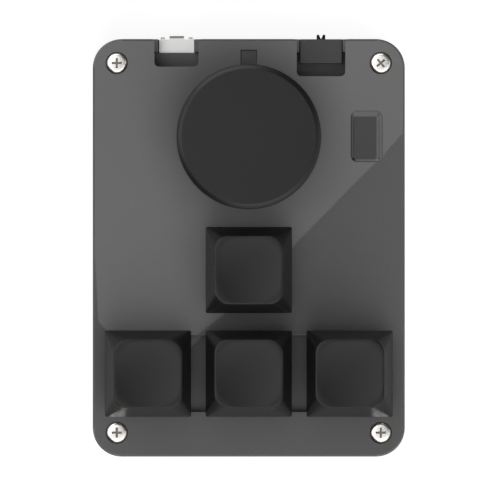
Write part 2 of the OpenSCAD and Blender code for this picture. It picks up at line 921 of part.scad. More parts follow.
// Dial knob: a drum with a D-shaped bore in its hub and thin ribs to its wall

hub_wall = 2;
hub_d = shaft_d + 2 * hub_wall;
z_hub = z_bush_top + knob_press + 0.4;

module dial_knob() {
    color("#333333")
        translate([0, knob_y, 0])
            difference() {
                union() {
                    difference() {
                        rotate_extrude($fn = 128)
                            polygon([[0, z_knob_low], [knob_d / 2, z_knob_low],
                                     [knob_top_d / 2 + knob_bevel, z_knob_top - knob_bevel],
                                     [knob_top_d / 2, z_knob_top], [0, z_knob_top]]);
                        rotate_extrude($fn = 128)
                            polygon([[0, z_knob_low - cut], [knob_d / 2 - knob_wall, z_knob_low - cut],
                                     [knob_d / 2 - knob_wall, z_knob_low],
                                     [knob_top_d / 2 + knob_bevel - knob_wall, z_knob_top - knob_wall],
                                     [0, z_knob_top - knob_wall]]);
                    }
                    translate([0, 0, z_hub])
                        cylinder(d = hub_d, h = z_knob_top - knob_wall / 2 - z_hub);
                    for (a = [0:60:300])
                        rotate([0, 0, a])
                            translate([hub_d / 2 - 0.5, -0.6, z_hub + 1])
                                cube([(knob_top_d - hub_d) / 2 - knob_wall + 1.5, 1.2,
                                      z_knob_top - knob_wall / 2 - z_hub - 1]);
                }
                translate([0, 0, z_hub - cut])
                    linear_extrude(shaft_top + 0.2 - z_hub + cut)
                        shaft_section(shaft_gap);
            }
}

// Power slide switch: plastic body in a steel shell, four pins and the lever

SLIDER_PINS = [-3, -1, 1, 3];
slider_shell_t = 0.25;
slider_pin_y = rear_y - slider_d + 1;
lever_z = z_board + slider_h / 2;
slot_w = lever_w + 2 * (lever_travel + lever_gap);
slot_h = lever_h + 2 * lever_gap;
carriage_w = slot_w + 1;
carriage_d = 1.6;

module power_switch_body() {
    color("#2e2e2e")
        difference() {
            translate([port_x - slider_w / 2 + slider_shell_t, rear_y - slider_d + slider_shell_t, z_board])
                cube([slider_w - 2 * slider_shell_t, slider_d - slider_shell_t, slider_h - slider_shell_t]);
            translate([port_x - slot_w / 2, rear_y - 1.2, lever_z - slot_h / 2])
                cube([slot_w, 1.2 + cut, slot_h]);
            translate([port_x - carriage_w / 2 - lever_travel - lever_gap,
                       rear_y - 1.2 - carriage_d - 2 * lever_gap, lever_z - slot_h / 2])
                cube([carriage_w + 2 * (lever_travel + lever_gap), carriage_d + 2 * lever_gap, slot_h]);
        }
}

// Folded steel shell over the top, sides and back of the body
module power_switch_shell() {
    color("#3a3a3a")
        difference() {
            translate([port_x - slider_w / 2, rear_y - slider_d, z_board])
                cube([slider_w, slider_d, slider_h]);
            translate([port_x - slider_w / 2 + slider_shell_t, rear_y - slider_d + slider_shell_t, z_board - cut])
                cube([slider_w - 2 * slider_shell_t, slider_d, slider_h - slider_shell_t + cut]);
        }
}

module power_switch_pins() {
    color("#cfcfcf")
        for (x = SLIDER_PINS)
            translate([port_x + x, slider_pin_y, z_board_low])
                solder_pin(lead_pin_d);
}

// Lever with a round finger groove across its end
module power_lever() {
    color("#262626")
        difference() {
            union() {
                translate([port_x - lever_w / 2, rear_y - 1.2 - lever_gap, lever_z - lever_h / 2])
                    cube([lever_w, 1.2 + lever_gap + lever_out, lever_h]);
                translate([port_x - carriage_w / 2, rear_y - 1.2 - carriage_d - lever_gap, lever_z - lever_h / 2])
                    cube([carriage_w, carriage_d, lever_h]);
            }
            translate([port_x, rear_y + lever_out + 0.05, lever_z - lever_h])
                cylinder(r = lever_w / 3, h = 2 * lever_h, $fn = 48);
        }
}

// Mode button over a small push switch

tact_w = 6;
tact_h = 2;
lip_t = 0.8;
z_lip = z_cover_low - 0.2 - lip_t;
plunger_d = 3.4;

module button_switch_body() {
    color("#1f1f1f")
        translate([button_x, button_y, z_board])
            difference() {
                linear_extrude(tact_h - 0.2)
                    square(tact_w, center = true);
                translate([0, 0, 0.6])
                    cylinder(d = plunger_d + 0.6, h = tact_h);
            }
}

module button_switch_frame() {
    color("#c4c5c6")
        translate([button_x, button_y, z_board + tact_h - 0.2])
            difference() {
                linear_extrude(0.2)
                    square(tact_w, center = true);
                translate([0, 0, -cut])
                    cylinder(d = plunger_d + 0.6, h = 2 * cut);
            }
}

module button_plunger() {
    color("#303030")
        translate([button_x, button_y, z_board + 0.6 + button_press + 0.1])
            cylinder(d = plunger_d, h = z_lip - z_board - 0.7 - button_press);
}

module mode_button() {
    color("#4a4a4a")
        translate([button_x, button_y, z_lip]) {
            plate(button_w + 2 * button_lip, button_l + 2 * button_lip, lip_t, button_r + button_lip);
            bevelled_plate(button_w, button_l, z_cover + button_proud - z_lip, button_r, button_bevel);
        }
}

// Key switches: base, upper housing, stem and return spring, all about the switch's own axis

locator_d = 4;
locator_l = 3.2;
base_floor = 1.3;
pin_d = 1.3;
PINS = [[-3.8, 2.5], [2.5, 5.1]];
stem_depth = 3.7;
stem_low = z_switch_top - stem_depth;
skirt_t = 1.2;
skirt_gap = 0.2;
ceiling_t = z_switch_top - (stem_low + skirt_t + skirt_gap);
skirt_w = stem_w + 1.8;
skirt_d = stem_d + 1.8;
cavity_w = switch_w - 2 * switch_wall;
spring_room = 1;
spring_d = guide_d + 2 * guide_gap + spring_room;
spring_low = z_board + base_floor;

module switch_base(p) {
    color("#202020")
        translate([p.x, p.y, z_board])
            difference() {
                union() {
                    linear_extrude(switch_seat_h)
                        square(switch_w, center = true);
                    translate([0, 0, switch_seat_h])
                        linear_extrude(flange_t)
                            square(flange_w, center = true);
                    translate([0, 0, -locator_l])
                        cylinder(d = locator_d, h = locator_l + 1);
                }
                translate([0, 0, base_floor])
                    linear_extrude(switch_seat_h + flange_t)
                        square(cavity_w, center = true);
                translate([0, 0, -locator_l - cut])
                    cylinder(d = guide_d + 2 * guide_gap - 0.1, h = locator_l + base_floor + 2 * cut);
            }
}

module switch_top(p) {
    color("#2a2a2a")
        translate([p.x, p.y, z_flange])
            difference() {
                hull() {
                    linear_extrude(0.4)
                        square(upper_w, center = true);
                    translate([0, 0, upper_h - 0.01])
                        linear_extrude(0.01)
                            square(upper_top_w, center = true);
                }
                hull() {
                    translate([0, 0, -cut])
                        linear_extrude(cut)
                            square(cavity_w, center = true);
                    translate([0, 0, upper_h - ceiling_t - 0.01])
                        linear_extrude(0.01)
                            square([skirt_w + 0.6, skirt_d + 0.6], center = true);
                }
                linear_extrude(upper_h + cut)
                    square([stem_w + 2 * stem_gap, stem_d + 2 * stem_gap], center = true);
            }
}

module cross_section(gap) {
    square([cross_l + 2 * gap, cross_t + 2 * gap], center = true);
    square([cross_t + 2 * gap, cross_l + 2 * gap], center = true);
}

module key_stem(p) {
    color("#7a4a2c")
        translate([p.x, p.y, stem_low]) {
            linear_extrude(z_switch_top - stem_low)
                square([stem_w, stem_d], center = true);
            linear_extrude(skirt_t)
                square([skirt_w, skirt_d], center = true);
            translate([0, 0, z_switch_top - stem_low - 0.5])
                linear_extrude(cross_h + 0.5)
                    cross_section(0);
            translate([0, 0, guide_low - stem_low])
                cylinder(d = guide_d, h = stem_low - guide_low + 1);
        }
}

guide_low = z_board - locator_l + key_travel + 0.4;

// Return spring: one wire wound in a helix, flat where it meets its two seats
function wire_point(t, z0, z1) =
    [spring_d / 2 * cos(360 * spring_turns * t), spring_d / 2 * sin(360 * spring_turns * t), z0 + (z1 - z0) * t];

module return_spring(p) {
    sides = 6;
    steps = 8 * spring_turns;
    z0 = spring_low + spring_wire / 2;
    z1 = stem_low - spring_wire / 2;
    rings = [for (i = [0:steps], k = [0:sides - 1])
        let (c = wire_point(i / steps, z0, z1), a = 360 * spring_turns * i / steps, b = 360 * k / sides)
            [c.x + spring_wire / 2 * cos(b) * cos(a), c.y + spring_wire / 2 * cos(b) * sin(a),
             c.z + spring_wire / 2 * sin(b)]];
    walls = [for (i = [0:steps - 1], k = [0:sides - 1])
        let (a = i * sides + k, b = i * sides + (k + 1) % sides)
            each [[a, a + sides, b], [b, a + sides, b + sides]]];
    first_end = [for (k = [1:sides - 2]) [0, k, k + 1]];
    last_end = [for (k = [1:sides - 2]) let (n = steps * sides) [n, n + k + 1, n + k]];
    color("#b8b8b8")
        translate([p.x, p.y, 0])
            polyhedron(rings, concat(walls, first_end, last_end));
}

module switch_pins() {
    color("#cfcfcf")
        for (p = KEYS, q = PINS)
            translate([p.x + q.x, p.y + q.y, z_board_low])
                solder_pin(pin_d);
}

// Keycap: a lofted shell with a dished top and a cross socket in its post

post_w = 5.4;
cap_post_low = z_switch_top + 0.1;

module cap_body(inset, height) {
    hull() {
        linear_extrude(0.01)
            square(cap_w - 2 * inset, center = true);
        translate([0, 0, height - 0.01])
            plate(cap_top_w - 2 * inset, cap_top_w - 2 * inset, 0.01, cap_top_r - inset / 2, $fn = 32);
    }
}

module keycap(p) {
    ceiling = cap_h - dish_depth - cap_top_t;
    color("#323232")
        translate([p.x, p.y, z_cap_low])
            difference() {
                union() {
                    difference() {
                        cap_body(0, cap_h);
                        translate([0, 0, cap_h - dish_depth + dish_r])
                            sphere(r = dish_r, $fn = 128);
                        translate([0, 0, -0.01])
                            cap_body(cap_wall, ceiling);
                    }
                    translate([0, 0, cap_post_low - z_cap_low])
                        cylinder(d = post_w, h = z_cap_low + ceiling + cap_top_t / 2 - cap_post_low);
                }
                translate([0, 0, cap_post_low - z_cap_low - cut])
                    linear_extrude(z_switch_top + cross_h + 0.2 - cap_post_low + cut)
                        cross_section(cross_gap);
            }
}

module keycap_up() { keycap(UP); }
module keycap_left() { keycap(LEFT); }
module keycap_down() { keycap(DOWN); }
module keycap_right() { keycap(RIGHT); }
module stem_up() { key_stem(UP); }
module stem_left() { key_stem(LEFT); }
module stem_down() { key_stem(DOWN); }
module stem_right() { key_stem(RIGHT); }
module switch_top_up() { switch_top(UP); }
module switch_top_left() { switch_top(LEFT); }
module switch_top_down() { switch_top(DOWN); }
module switch_top_right() { switch_top(RIGHT); }
module switch_base_up() { switch_base(UP); }
module switch_base_left() { switch_base(LEFT); }
module switch_base_down() { switch_base(DOWN); }
module switch_base_right() { switch_base(RIGHT); }
module spring_up() { return_spring(UP); }
module spring_left() { return_spring(LEFT); }
module spring_down() { return_spring(DOWN); }
module spring_right() { return_spring(RIGHT); }

bottom_case();
top_cover();
rubber_feet();
cover_screws();
threaded_inserts();
main_board();
board_screws();
battery_cell();
battery_pad();
red_lead();
black_lead();
battery_plug();
battery_socket();
radio_board();
radio_shield();
board_chips();
small_parts();
status_led();
light_window();
port_shell();
port_tongue();
port_contacts();
encoder_base();
encoder_bracket();
encoder_bush();
encoder_rotor();
detent_spring();
dial_shaft();
encoder_pins();
dial_knob();
power_switch_body();
power_switch_shell();
power_switch_pins();
power_lever();
button_switch_body();
button_switch_frame();
button_plunger();
mode_button();
switch_pins();
keycap_up();
keycap_left();
keycap_down();
keycap_right();
stem_up();
stem_left();
stem_down();
stem_right();
switch_top_up();
switch_top_left();
switch_top_down();
switch_top_right();
switch_base_up();
switch_base_left();
switch_base_down();
switch_base_right();
spring_up();
spring_left();
spring_down();
spring_right();
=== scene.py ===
"""Looks of a macro keypad: refined pieces and procedural finishes on the fixed frame, in a plain studio"""

import json
from math import copysign, cos, pi, radians, sin, sqrt, tau

import bmesh
import bpy
from bmesh.types import BMEdge, BMVert
from bpy.props import FloatProperty, FloatVectorProperty, PointerProperty
from mathutils import Matrix, Vector

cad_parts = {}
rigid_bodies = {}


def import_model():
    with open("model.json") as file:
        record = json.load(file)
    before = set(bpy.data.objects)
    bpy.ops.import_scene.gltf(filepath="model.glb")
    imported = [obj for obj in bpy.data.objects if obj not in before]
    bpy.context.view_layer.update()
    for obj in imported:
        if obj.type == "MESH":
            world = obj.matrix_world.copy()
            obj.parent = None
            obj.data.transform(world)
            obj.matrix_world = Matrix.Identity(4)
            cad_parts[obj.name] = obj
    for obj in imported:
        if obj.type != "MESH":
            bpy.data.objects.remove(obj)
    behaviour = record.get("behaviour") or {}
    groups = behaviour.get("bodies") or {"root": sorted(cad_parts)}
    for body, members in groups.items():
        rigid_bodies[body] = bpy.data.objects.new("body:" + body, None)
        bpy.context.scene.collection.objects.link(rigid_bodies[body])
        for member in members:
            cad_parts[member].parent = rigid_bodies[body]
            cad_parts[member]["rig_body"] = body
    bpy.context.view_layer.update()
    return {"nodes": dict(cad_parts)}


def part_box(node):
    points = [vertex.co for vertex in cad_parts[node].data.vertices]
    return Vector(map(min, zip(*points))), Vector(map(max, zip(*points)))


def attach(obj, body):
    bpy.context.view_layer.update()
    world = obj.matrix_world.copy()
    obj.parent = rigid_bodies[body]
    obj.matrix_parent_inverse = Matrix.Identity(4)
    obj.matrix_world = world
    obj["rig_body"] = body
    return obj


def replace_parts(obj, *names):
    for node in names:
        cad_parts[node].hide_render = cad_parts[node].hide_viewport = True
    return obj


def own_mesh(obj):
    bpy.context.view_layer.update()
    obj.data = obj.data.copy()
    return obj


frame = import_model()

bl_info = {
    "name": "Macro keypad looks",
    "version": (1, 0, 0),
    "blender": (4, 5, 0),
    "location": "3D Viewport > Sidebar > Keypad",
    "description": "Models and finishes the visible pieces of a macro keypad",
    "category": "Object",
}

KEYS = ("up", "left", "down", "right")
MM = 1000.0  # Millimetres in a metre
NEAR = 0.01  # Places closer than this, in millimetres, count as one
EVEN = (1.0, 1.0, 1.0)  # Metal without a brushed direction
WHITE = (1.0, 1.0, 1.0, 1.0)


# Settings that a user would change

def length(name, description, default, high=0.01):
    return FloatProperty(name=name, description=description, default=default, min=0.0, max=high,
                         precision=5, unit="LENGTH")


def factor(name, description, default):
    return FloatProperty(name=name, description=description, default=default, min=0.0, max=1.0,
                         subtype="FACTOR")


def colour(name, description, default):
    return FloatVectorProperty(name=name, description=description, default=default, size=3,
                               min=0.0, max=1.0, subtype="COLOR")


def glow(name, description, default, high=20.0):
    return FloatProperty(name=name, description=description, default=default, min=0.0, max=high)


class KeypadCaseSettings(bpy.types.PropertyGroup):
    edge: length("Edge rounding", "Radius of the moulded edges of case and cover", 0.00014, 0.0004)
    grain: length("Grain", "Size of the fine moulded texture", 0.00034, 0.002)
    case_colour: colour("Case colour", "Plastic of the bottom case", (0.11, 0.11, 0.111))
    cover_colour: colour("Cover colour", "Plastic of the top cover", (0.124, 0.124, 0.125))
    cover_gloss: factor("Cover gloss", "Roughness of the clear sheen on the cover", 0.005)
    cover_edge: length("Cover edge", "Radius of the cover's upper outline", 0.0003, 0.0006)
    mouth: length("Mouth rounding", "Radius where the rear openings meet the rear face", 0.00065, 0.001)
    rubber_colour: colour("Foot colour", "Rubber of the feet", (0.016, 0.016, 0.017))


class KeypadKeySettings(bpy.types.PropertyGroup):
    top_width: length("Top width", "Width of a keycap's top", 0.0142, 0.016)
    top_corner: length("Top corner", "Corner radius of a keycap's top", 0.003, 0.005)
    skirt_corner: length("Skirt corner", "Corner radius of a keycap's skirt", 0.00035, 0.002)
    rim: length("Rim", "Rounding between a keycap's top and sides", 0.0003, 0.0008)
    dish_radius: length("Dish radius", "Radius of the round hollow in the top", 0.06, 0.2)
    dish_depth: length("Dish depth", "Depth of the round hollow in the top", 0.0005, 0.001)
    cap_colour: colour("Keycap colour", "Plastic of the keycaps", (0.0125, 0.0125, 0.0127))
    stem_colour: colour("Stem colour", "Plastic of the switch stems", (0.19, 0.075, 0.03))


class KeypadDialSettings(bpy.types.PropertyGroup):
    face_width: length("Face width", "Diameter of the flat face of the knob", 0.0279, 0.029)
    shoulder: length("Shoulder", "Width of the slope between the knob's face and side", 0.00106, 0.0012)
    knob_colour: colour("Knob colour", "Plastic of the knob", (0.011, 0.011, 0.0112))
    button_colour: colour("Button colour", "Plastic of the mode button", (0.017, 0.017, 0.0173))
    button_slope: length("Button slope", "Width of the slope round the mode button's hollow", 0.00095, 0.0012)
    button_hollow: length("Button hollow", "Depth of the mode button's hollow", 0.0003, 0.0006)


class KeypadMetalSettings(bpy.types.PropertyGroup):
    screw_colour: colour("Screw colour", "Plated steel of the screws", (0.86, 0.84, 0.8))
    steel_colour: colour("Connector colour", "Steel of the connector shell", (0.74, 0.735, 0.73))
    gold_colour: colour("Contact colour", "Gold of the contacts", (0.83, 0.56, 0.2))


class KeypadStageSettings(bpy.types.PropertyGroup):
    distance: length("Camera distance", "Height of the camera above the cover", 4.051, 10.0)
    lens: FloatProperty(name="Lens", description="Focal length of the camera in millimetres",
                        default=1400.0, min=20.0, max=5000.0)
    panel_height: length("Panel height", "Height of the soft panel above the cover", 2.4, 5.0)
    panel_short: length("Panel width", "Short side of the soft panel overhead", 0.5, 5.0)
    panel_long: length("Panel length", "Long side of the soft panel overhead", 1.6, 5.0)
    panel_glow: glow("Panel glow", "Brightness of the soft panel overhead", 1.05)
    front_glow: glow("Front glow", "Brightness of the soft panel in front", 1.7)
    left_glow: glow("Left glow", "Brightness of the soft panel on the left", 1.8)
    rear_glow: glow("Rear glow", "Brightness of the soft panel at the rear", 1.8)
    room_glow: glow("Room glow", "Brightness of the pale room", 0.45, 5.0)
    floor_glow: glow("Floor glow", "How far the pale floor is lit from below", 0.85, 5.0)


# Finishes

class Nodes:
    """A node tree that is put together node by node"""

    def __init__(self, tree):
        self.nodes, self.links = tree.nodes, tree.links

    def add(self, kind, inputs, **settings):
        node = self.nodes.new(kind)
        for key, value in settings.items():
            setattr(node, key, value)
        for socket, value in inputs.items():
            if isinstance(value, bpy.types.NodeSocket):
                self.links.new(value, node.inputs[socket])
            else:
                node.inputs[socket].default_value = value
        return node

    def maths(self, operation, first, second):
        return self.add("ShaderNodeMath", {0: first, 1: second}, operation=operation).outputs["Value"]

    def plus(self, first, second):
        return self.maths("ADD", first, second)

    def times(self, first, second):
        return self.maths("MULTIPLY", first, second)

    def span(self, value, low, high, to_low=0.0, to_high=1.0, **settings):
        """Carries the value from one range over to another"""
        sockets = {0: value, 1: low, 2: high, 3: to_low, 4: to_high}
        return self.add("ShaderNodeMapRange", sockets, **settings).outputs["Result"]


class Finish(Nodes):
    """A procedural material on one principled shader"""

    def __init__(self, name, **uniform):
        self.material = bpy.data.materials.new(name)
        self.material.use_nodes = True
        super().__init__(self.material.node_tree)
        self.shader = self.nodes["Principled BSDF"]
        self.place = self.nodes.new("ShaderNodeTexCoord").outputs["Object"]
        for socket, value in uniform.items():
            self.shader.inputs[socket.replace("_", " ")].default_value = value

    def stretched(self, scale):
        return self.add("ShaderNodeMapping", {"Vector": self.place, "Scale": scale}).outputs["Vector"]

    def noise(self, scale, detail=3.0, roughness=0.55, place=None):
        sockets = {"Vector": place or self.place, "Scale": scale, "Detail": detail, "Roughness": roughness}
        return self.add("ShaderNodeTexNoise", sockets).outputs["Fac"]

    def patches(self, scale, detail=3.0, low=0.0, high=1.0):
        """Soft patches between two values"""
        return self.span(self.noise(scale, detail), 0.3, 0.7, low, high)

    def cells(self, scale):
        return self.add("ShaderNodeTexVoronoi", {"Vector": self.place, "Scale": scale},
                        feature="SMOOTH_F1").outputs["Distance"]

    def mix(self, share, first, second):
        return self.add("ShaderNodeMix", {0: share, 6: first, 7: second}, data_type="RGBA").outputs[2]

    def tones(self, share, base, first, second):
        """Two shades of one colour"""
        return self.mix(share, shade(base, first), shade(base, second))

    def edges(self, radius):
        """One at an outer edge of the piece, nought on its faces"""
        rounded = self.add("ShaderNodeBevel", {"Radius": radius}, samples=4).outputs["Normal"]
        plain = self.nodes.new("ShaderNodeNewGeometry").outputs["Normal"]
        along = self.add("ShaderNodeVectorMath", {0: rounded, 1: plain}, operation="DOT_PRODUCT")
        return self.span(along.outputs["Value"], 0.99, 0.86)

    def openness(self, reach):
        """One where the surface is open to the room, nought deep in a corner"""
        return self.add("ShaderNodeAmbientOcclusion", {"Distance": reach}, samples=8).outputs["AO"]

    def paint(self, socket):
        self.links.new(socket, self.shader.inputs["Base Color"])

    def roughen(self, socket):
        self.links.new(socket, self.shader.inputs["Roughness"])

    def emboss(self, height, strength, distance):
        bump = self.add("ShaderNodeBump", {"Height": height, "Strength": strength, "Distance": distance})
        self.links.new(bump.outputs["Normal"], self.shader.inputs["Normal"])


def shade(base, share):
    """A colour made lighter or darker by a share, with its alpha"""
    return tuple(min(1.0, channel * share) for channel in base) + (1.0,)


def moulded(name, base, grain, rough, relief=0.000008, wear=0.25, patch=0.05, painted_shade_strength=0.0, **uniform):
    """Moulded plastic: fine spark texture, slow tone patches, polished edges, and painted shade that dims the
    colour and the sheen in corners and beside taller parts
    """
    f = Finish(name, **uniform)
    fine = f.noise(1.0 / grain, 3.0, 0.6)
    tone = f.tones(f.patches(75.0, 4.0), base, 1.0 - patch, 1.0 + patch)
    speck = f.mix(f.span(fine, 0.35, 0.7, 0.0, 0.5), tone, shade(base, 1.18))
    wear_and_shade = f.mix(f.span(f.edges(0.00028), 0.0, 1.0, 0.0, wear), speck, shade(base, 1.9))
    # Painted shade: where walls or other parts stand within 9 mm, the colour is darkened and the clear sheen
    # is thinned
    if painted_shade_strength:
        painted_shade = f.span(f.openness(0.009), 0.35, 1.0, painted_shade_strength, 0.0)
        wear_and_shade = f.mix(f.times(painted_shade, 0.4), wear_and_shade, shade(base, 0.12))
        coat = f.shader.inputs["Coat Weight"]
        clear = f.maths("SUBTRACT", 1.0, f.times(painted_shade, 1.2))
        f.links.new(f.times(coat.default_value, clear), coat)
    f.paint(wear_and_shade)
    f.roughen(f.patches(0.4 / grain, 4.0, *rough))
    f.emboss(f.plus(fine, f.cells(0.55 / grain)), 0.35, relief)
    return f.material


def rubbery(name, base):
    f = Finish(name, Specular_IOR_Level=0.3, Sheen_Weight=0.15, Sheen_Roughness=0.4)
    fine = f.noise(5200.0, 4.0, 0.7)
    dust = f.span(f.noise(420.0, 5.0, 0.7), 0.52, 0.8, 0.0, 0.35)
    f.paint(f.tones(dust, base, 1.0, 3.2))
    f.roughen(f.span(fine, 0.3, 0.7, 0.68, 0.86))
    f.emboss(fine, 0.5, 0.00002)
    return f.material


def metallic(name, base, rough, brush=(1.0, 14.0, 1.0), tarnish=0.12, relief=0.000002, shaded_pockets=False,
             tip=0.0):
    """Plated or rolled metal: drawn lines, dull patches, bright edges, painted shade in pockets, dark past
    its tip
    """
    f = Finish(name, Metallic=1.0)
    lines = f.noise(900.0, 5.0, 0.65, f.stretched(brush))
    dull = f.span(f.noise(260.0, 4.0, 0.6), 0.45, 0.75, 0.0, tarnish)
    tone = f.tones(dull, base, 1.0, 0.62)
    wear_and_shade = f.mix(f.span(f.edges(0.00012), 0.0, 1.0, 0.0, 0.3), tone, shade(base, 1.12))
    # Painted shade: faces marked as recess take a dark brown grey in place of the metal's colour
    if shaded_pockets:
        recess = f.add("ShaderNodeAttribute", {}, attribute_name="recess").outputs["Fac"]
        wear_and_shade = f.mix(recess, wear_and_shade, shade((0.26, 0.22, 0.19), 0.8))
    if tip:
        ahead = f.add("ShaderNodeSeparateXYZ", {"Vector": f.place}).outputs["Y"]
        wear_and_shade = f.mix(f.span(ahead, tip - 0.00002, tip + 0.00002), wear_and_shade, shade(base, 0.3))
    f.paint(wear_and_shade)
    f.roughen(f.span(f.plus(lines, dull), 0.3, 0.9, *rough))
    if relief:
        f.emboss(lines, 0.25, relief)
    return f.material


def solder(name):
    return metallic(name, (0.66, 0.66, 0.67), (0.22, 0.4), EVEN, 0.3, 0.00001)


def circuit_board(name, mask, track):
    """Matt solder mask over faint right-angled tracks, with the woven glass just showing"""
    f = Finish(name, Specular_IOR_Level=0.45, Coat_Weight=0.2, Coat_Roughness=0.25)
    bricks = {"Vector": f.place, "Scale": 260.0, "Mortar Size": 0.035}
    runs = f.add("ShaderNodeTexBrick", bricks).outputs["Fac"]
    hidden = f.span(f.noise(90.0, 2.0), 0.46, 0.56)
    tracks = f.times(runs, hidden)
    weave = f.plus(f.noise(2500.0, 1.0, 0.4, f.stretched((1.0, 0.1, 1.0))),
                   f.noise(2500.0, 1.0, 0.4, f.stretched((0.1, 1.0, 1.0))))
    base = f.tones(f.patches(120.0), mask, 0.93, 1.08)
    f.paint(f.mix(f.span(tracks, 0.0, 1.0, 0.0, 0.55), base, shade(track, 1.0)))
    f.roughen(f.span(weave, 0.6, 1.4, 0.38, 0.5))
    f.emboss(f.plus(tracks, f.span(weave, 0.6, 1.4, 0.0, 0.3)), 0.4, 0.00002)
    return f.material


def pouch_foil(name, base):
    """Soft laminated foil with wide creases"""
    f = Finish(name, Metallic=0.85)
    crease = f.noise(95.0, 6.0, 0.62, f.stretched((1.0, 0.45, 1.0)))
    fine = f.noise(2200.0, 3.0, 0.6)
    f.paint(f.tones(f.span(crease, 0.35, 0.7), base, 0.9, 1.06))
    f.roughen(f.span(fine, 0.3, 0.7, 0.3, 0.44))
    f.emboss(f.plus(crease, f.span(fine, 0.0, 1.0, 0.0, 0.05)), 0.5, 0.0001)
    return f.material


def foam(name, base):
    f = Finish(name, Specular_IOR_Level=0.2)
    bubbles = f.cells(2600.0)
    f.paint(f.tones(f.span(bubbles, 0.2, 0.7), base, 1.0, 0.72))
    f.roughen(f.span(bubbles, 0.1, 0.8, 0.8, 0.95))
    f.emboss(bubbles, 0.8, 0.00006)
    return f.material


def smoked_clear(name, base, rough, **uniform):
    """Clear plastic that looks dark over an unlit light"""
    f = Finish(name, IOR=1.49, **uniform)
    fine = f.noise(1500.0, 3.0, 0.6)
    depth = f.noise(480.0, 3.0, 0.5)
    f.paint(f.tones(f.span(depth, 0.35, 0.7), base, 0.9, 1.12))
    f.roughen(f.span(fine, 0.3, 0.7, *rough))
    f.emboss(fine, 0.15, 0.000004)
    return f.material


# Modelling, in millimetres

def box_mm(node):
    low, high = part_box(node)
    return low * MM, high * MM


def middle(node):
    low, high = box_mm(node)
    return (low + high) / 2.0


def corners(node, inset):
    """Four places (x, y) inside the corners of a node's box"""
    low, high = box_mm(node)
    return [(x, y) for x in (low.x + inset, high.x - inset) for y in (low.y + inset, high.y - inset)]


def only(kind, made):
    """The vertices or the edges in what an operator made"""
    return [item for item in made if isinstance(item, kind)]


def scale(bm, share):
    bmesh.ops.scale(bm, vec=(share, share, share), verts=bm.verts[:])


def move(bm, verts, shift):
    bmesh.ops.translate(bm, vec=shift, verts=verts)


def turn(bm, verts, angle):
    """Turns the vertices about the upright axis"""
    bmesh.ops.rotate(bm, verts=verts, cent=(0, 0, 0), matrix=Matrix.Rotation(angle, 3, "Z"))


def fixed(bm, name):
    """Ends the editing: a mesh with the given name"""
    mesh = bpy.data.meshes.new(name)
    bm.to_mesh(mesh)
    bm.free()
    return mesh


def take_in(bm, mesh):
    """Adds the shape of a passing mesh"""
    bm.from_mesh(mesh)
    bpy.data.meshes.remove(mesh)


def put(name, data):
    """An object at the origin of the scene"""
    item = bpy.data.objects.new(name, data)
    bpy.context.scene.collection.objects.link(item)
    return item


def finish_piece(bm, name, node, material, sharp=40.0, even=True):
    """Makes the mesh an object in place that stands for its CAD node and rides with its body"""
    scale(bm, 1.0 / MM)
    mesh = fixed(bm, name)
    mesh.shade_smooth()
    mesh.set_sharp_from_angle(angle=radians(sharp))
    mesh.materials.append(material)
    piece = put(name, mesh)
    if even:
        normals = piece.modifiers.new("Even shading", "WEIGHTED_NORMAL")
        normals.keep_sharp = True
        normals.weight = 100
    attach(piece, frame["nodes"][node]["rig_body"])
    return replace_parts(piece, node)


def dress(node, material):
    """Gives a CAD node that stays as it is its finish"""
    part = frame["nodes"][node]
    part.data.materials.clear()
    part.data.materials.append(material)


def merged_copy(node):
    """The node's shape as a clean mesh in millimetres, with flat faces in one piece"""
    bm = bmesh.new()
    bm.from_mesh(frame["nodes"][node].data)
    scale(bm, MM)
    bmesh.ops.remove_doubles(bm, verts=bm.verts[:], dist=0.002)
    bmesh.ops.dissolve_limit(bm, angle_limit=radians(0.6), use_dissolve_boundaries=False,
                             verts=bm.verts[:], edges=bm.edges[:])
    return bm


def sharp_edges(bm, angle, where=None):
    return [e for e in bm.edges if len(e.link_faces) == 2 and e.calc_face_angle(0.0) > radians(angle)
            and (where is None or where(e))]


def loops(edges):
    """Sorts edges into groups that hang together, each with the reach of its box from corner to corner"""
    left, groups = set(edges), []
    while left:
        front, found = [left.pop()], []
        while front:
            e = front.pop()
            found.append(e)
            near = {other for v in e.verts for other in v.link_edges if other in left}
            left -= near
            front += near
        points = [v.co for e in found for v in e.verts]
        reach = Vector(map(max, zip(*points))) - Vector(map(min, zip(*points)))
        groups.append((found, reach.length))
    return groups


def bevel(bm, geom, width, segments, affect="EDGES", clamp=False):
    bmesh.ops.bevel(bm, geom=geom, offset=width, offset_type="OFFSET", segments=segments, profile=0.5,
                    affect=affect, clamp_overlap=clamp, loop_slide=False, material=-1)


def round_edges(bm, width, angle=28.0, segments=2, where=None, found=None):
    """Rounds the edges that are sharper than angle, or those found"""
    bevel(bm, sharp_edges(bm, angle, where) if found is None else found, width, segments)


def refine(node, material, width, name, segments=2, angle=28.0, shape=None):
    """A copy of a CAD node with its moulded, folded or turned edges rounded"""
    bm = merged_copy(node)
    if shape:
        shape(bm)
    round_edges(bm, width, angle, segments)
    finish_piece(bm, name, node, material)


def block(bm, low, high, edge=0.0):
    """A block between two corners, with rounded edges"""
    low, high = Vector(low), Vector(high)
    verts = bmesh.ops.create_cube(bm, size=1.0)["verts"]
    bmesh.ops.scale(bm, vec=high - low, verts=verts)
    move(bm, verts, (low + high) / 2.0)
    if edge:
        bevel(bm, list({e for v in verts for e in v.link_edges}), edge, 2, clamp=True)
    return verts


def fresh(bm):
    """The vertices added since the last call, which are marked as seen"""
    verts = [v for v in bm.verts if not v.tag]
    for v in verts:
        v.tag = True
    return verts


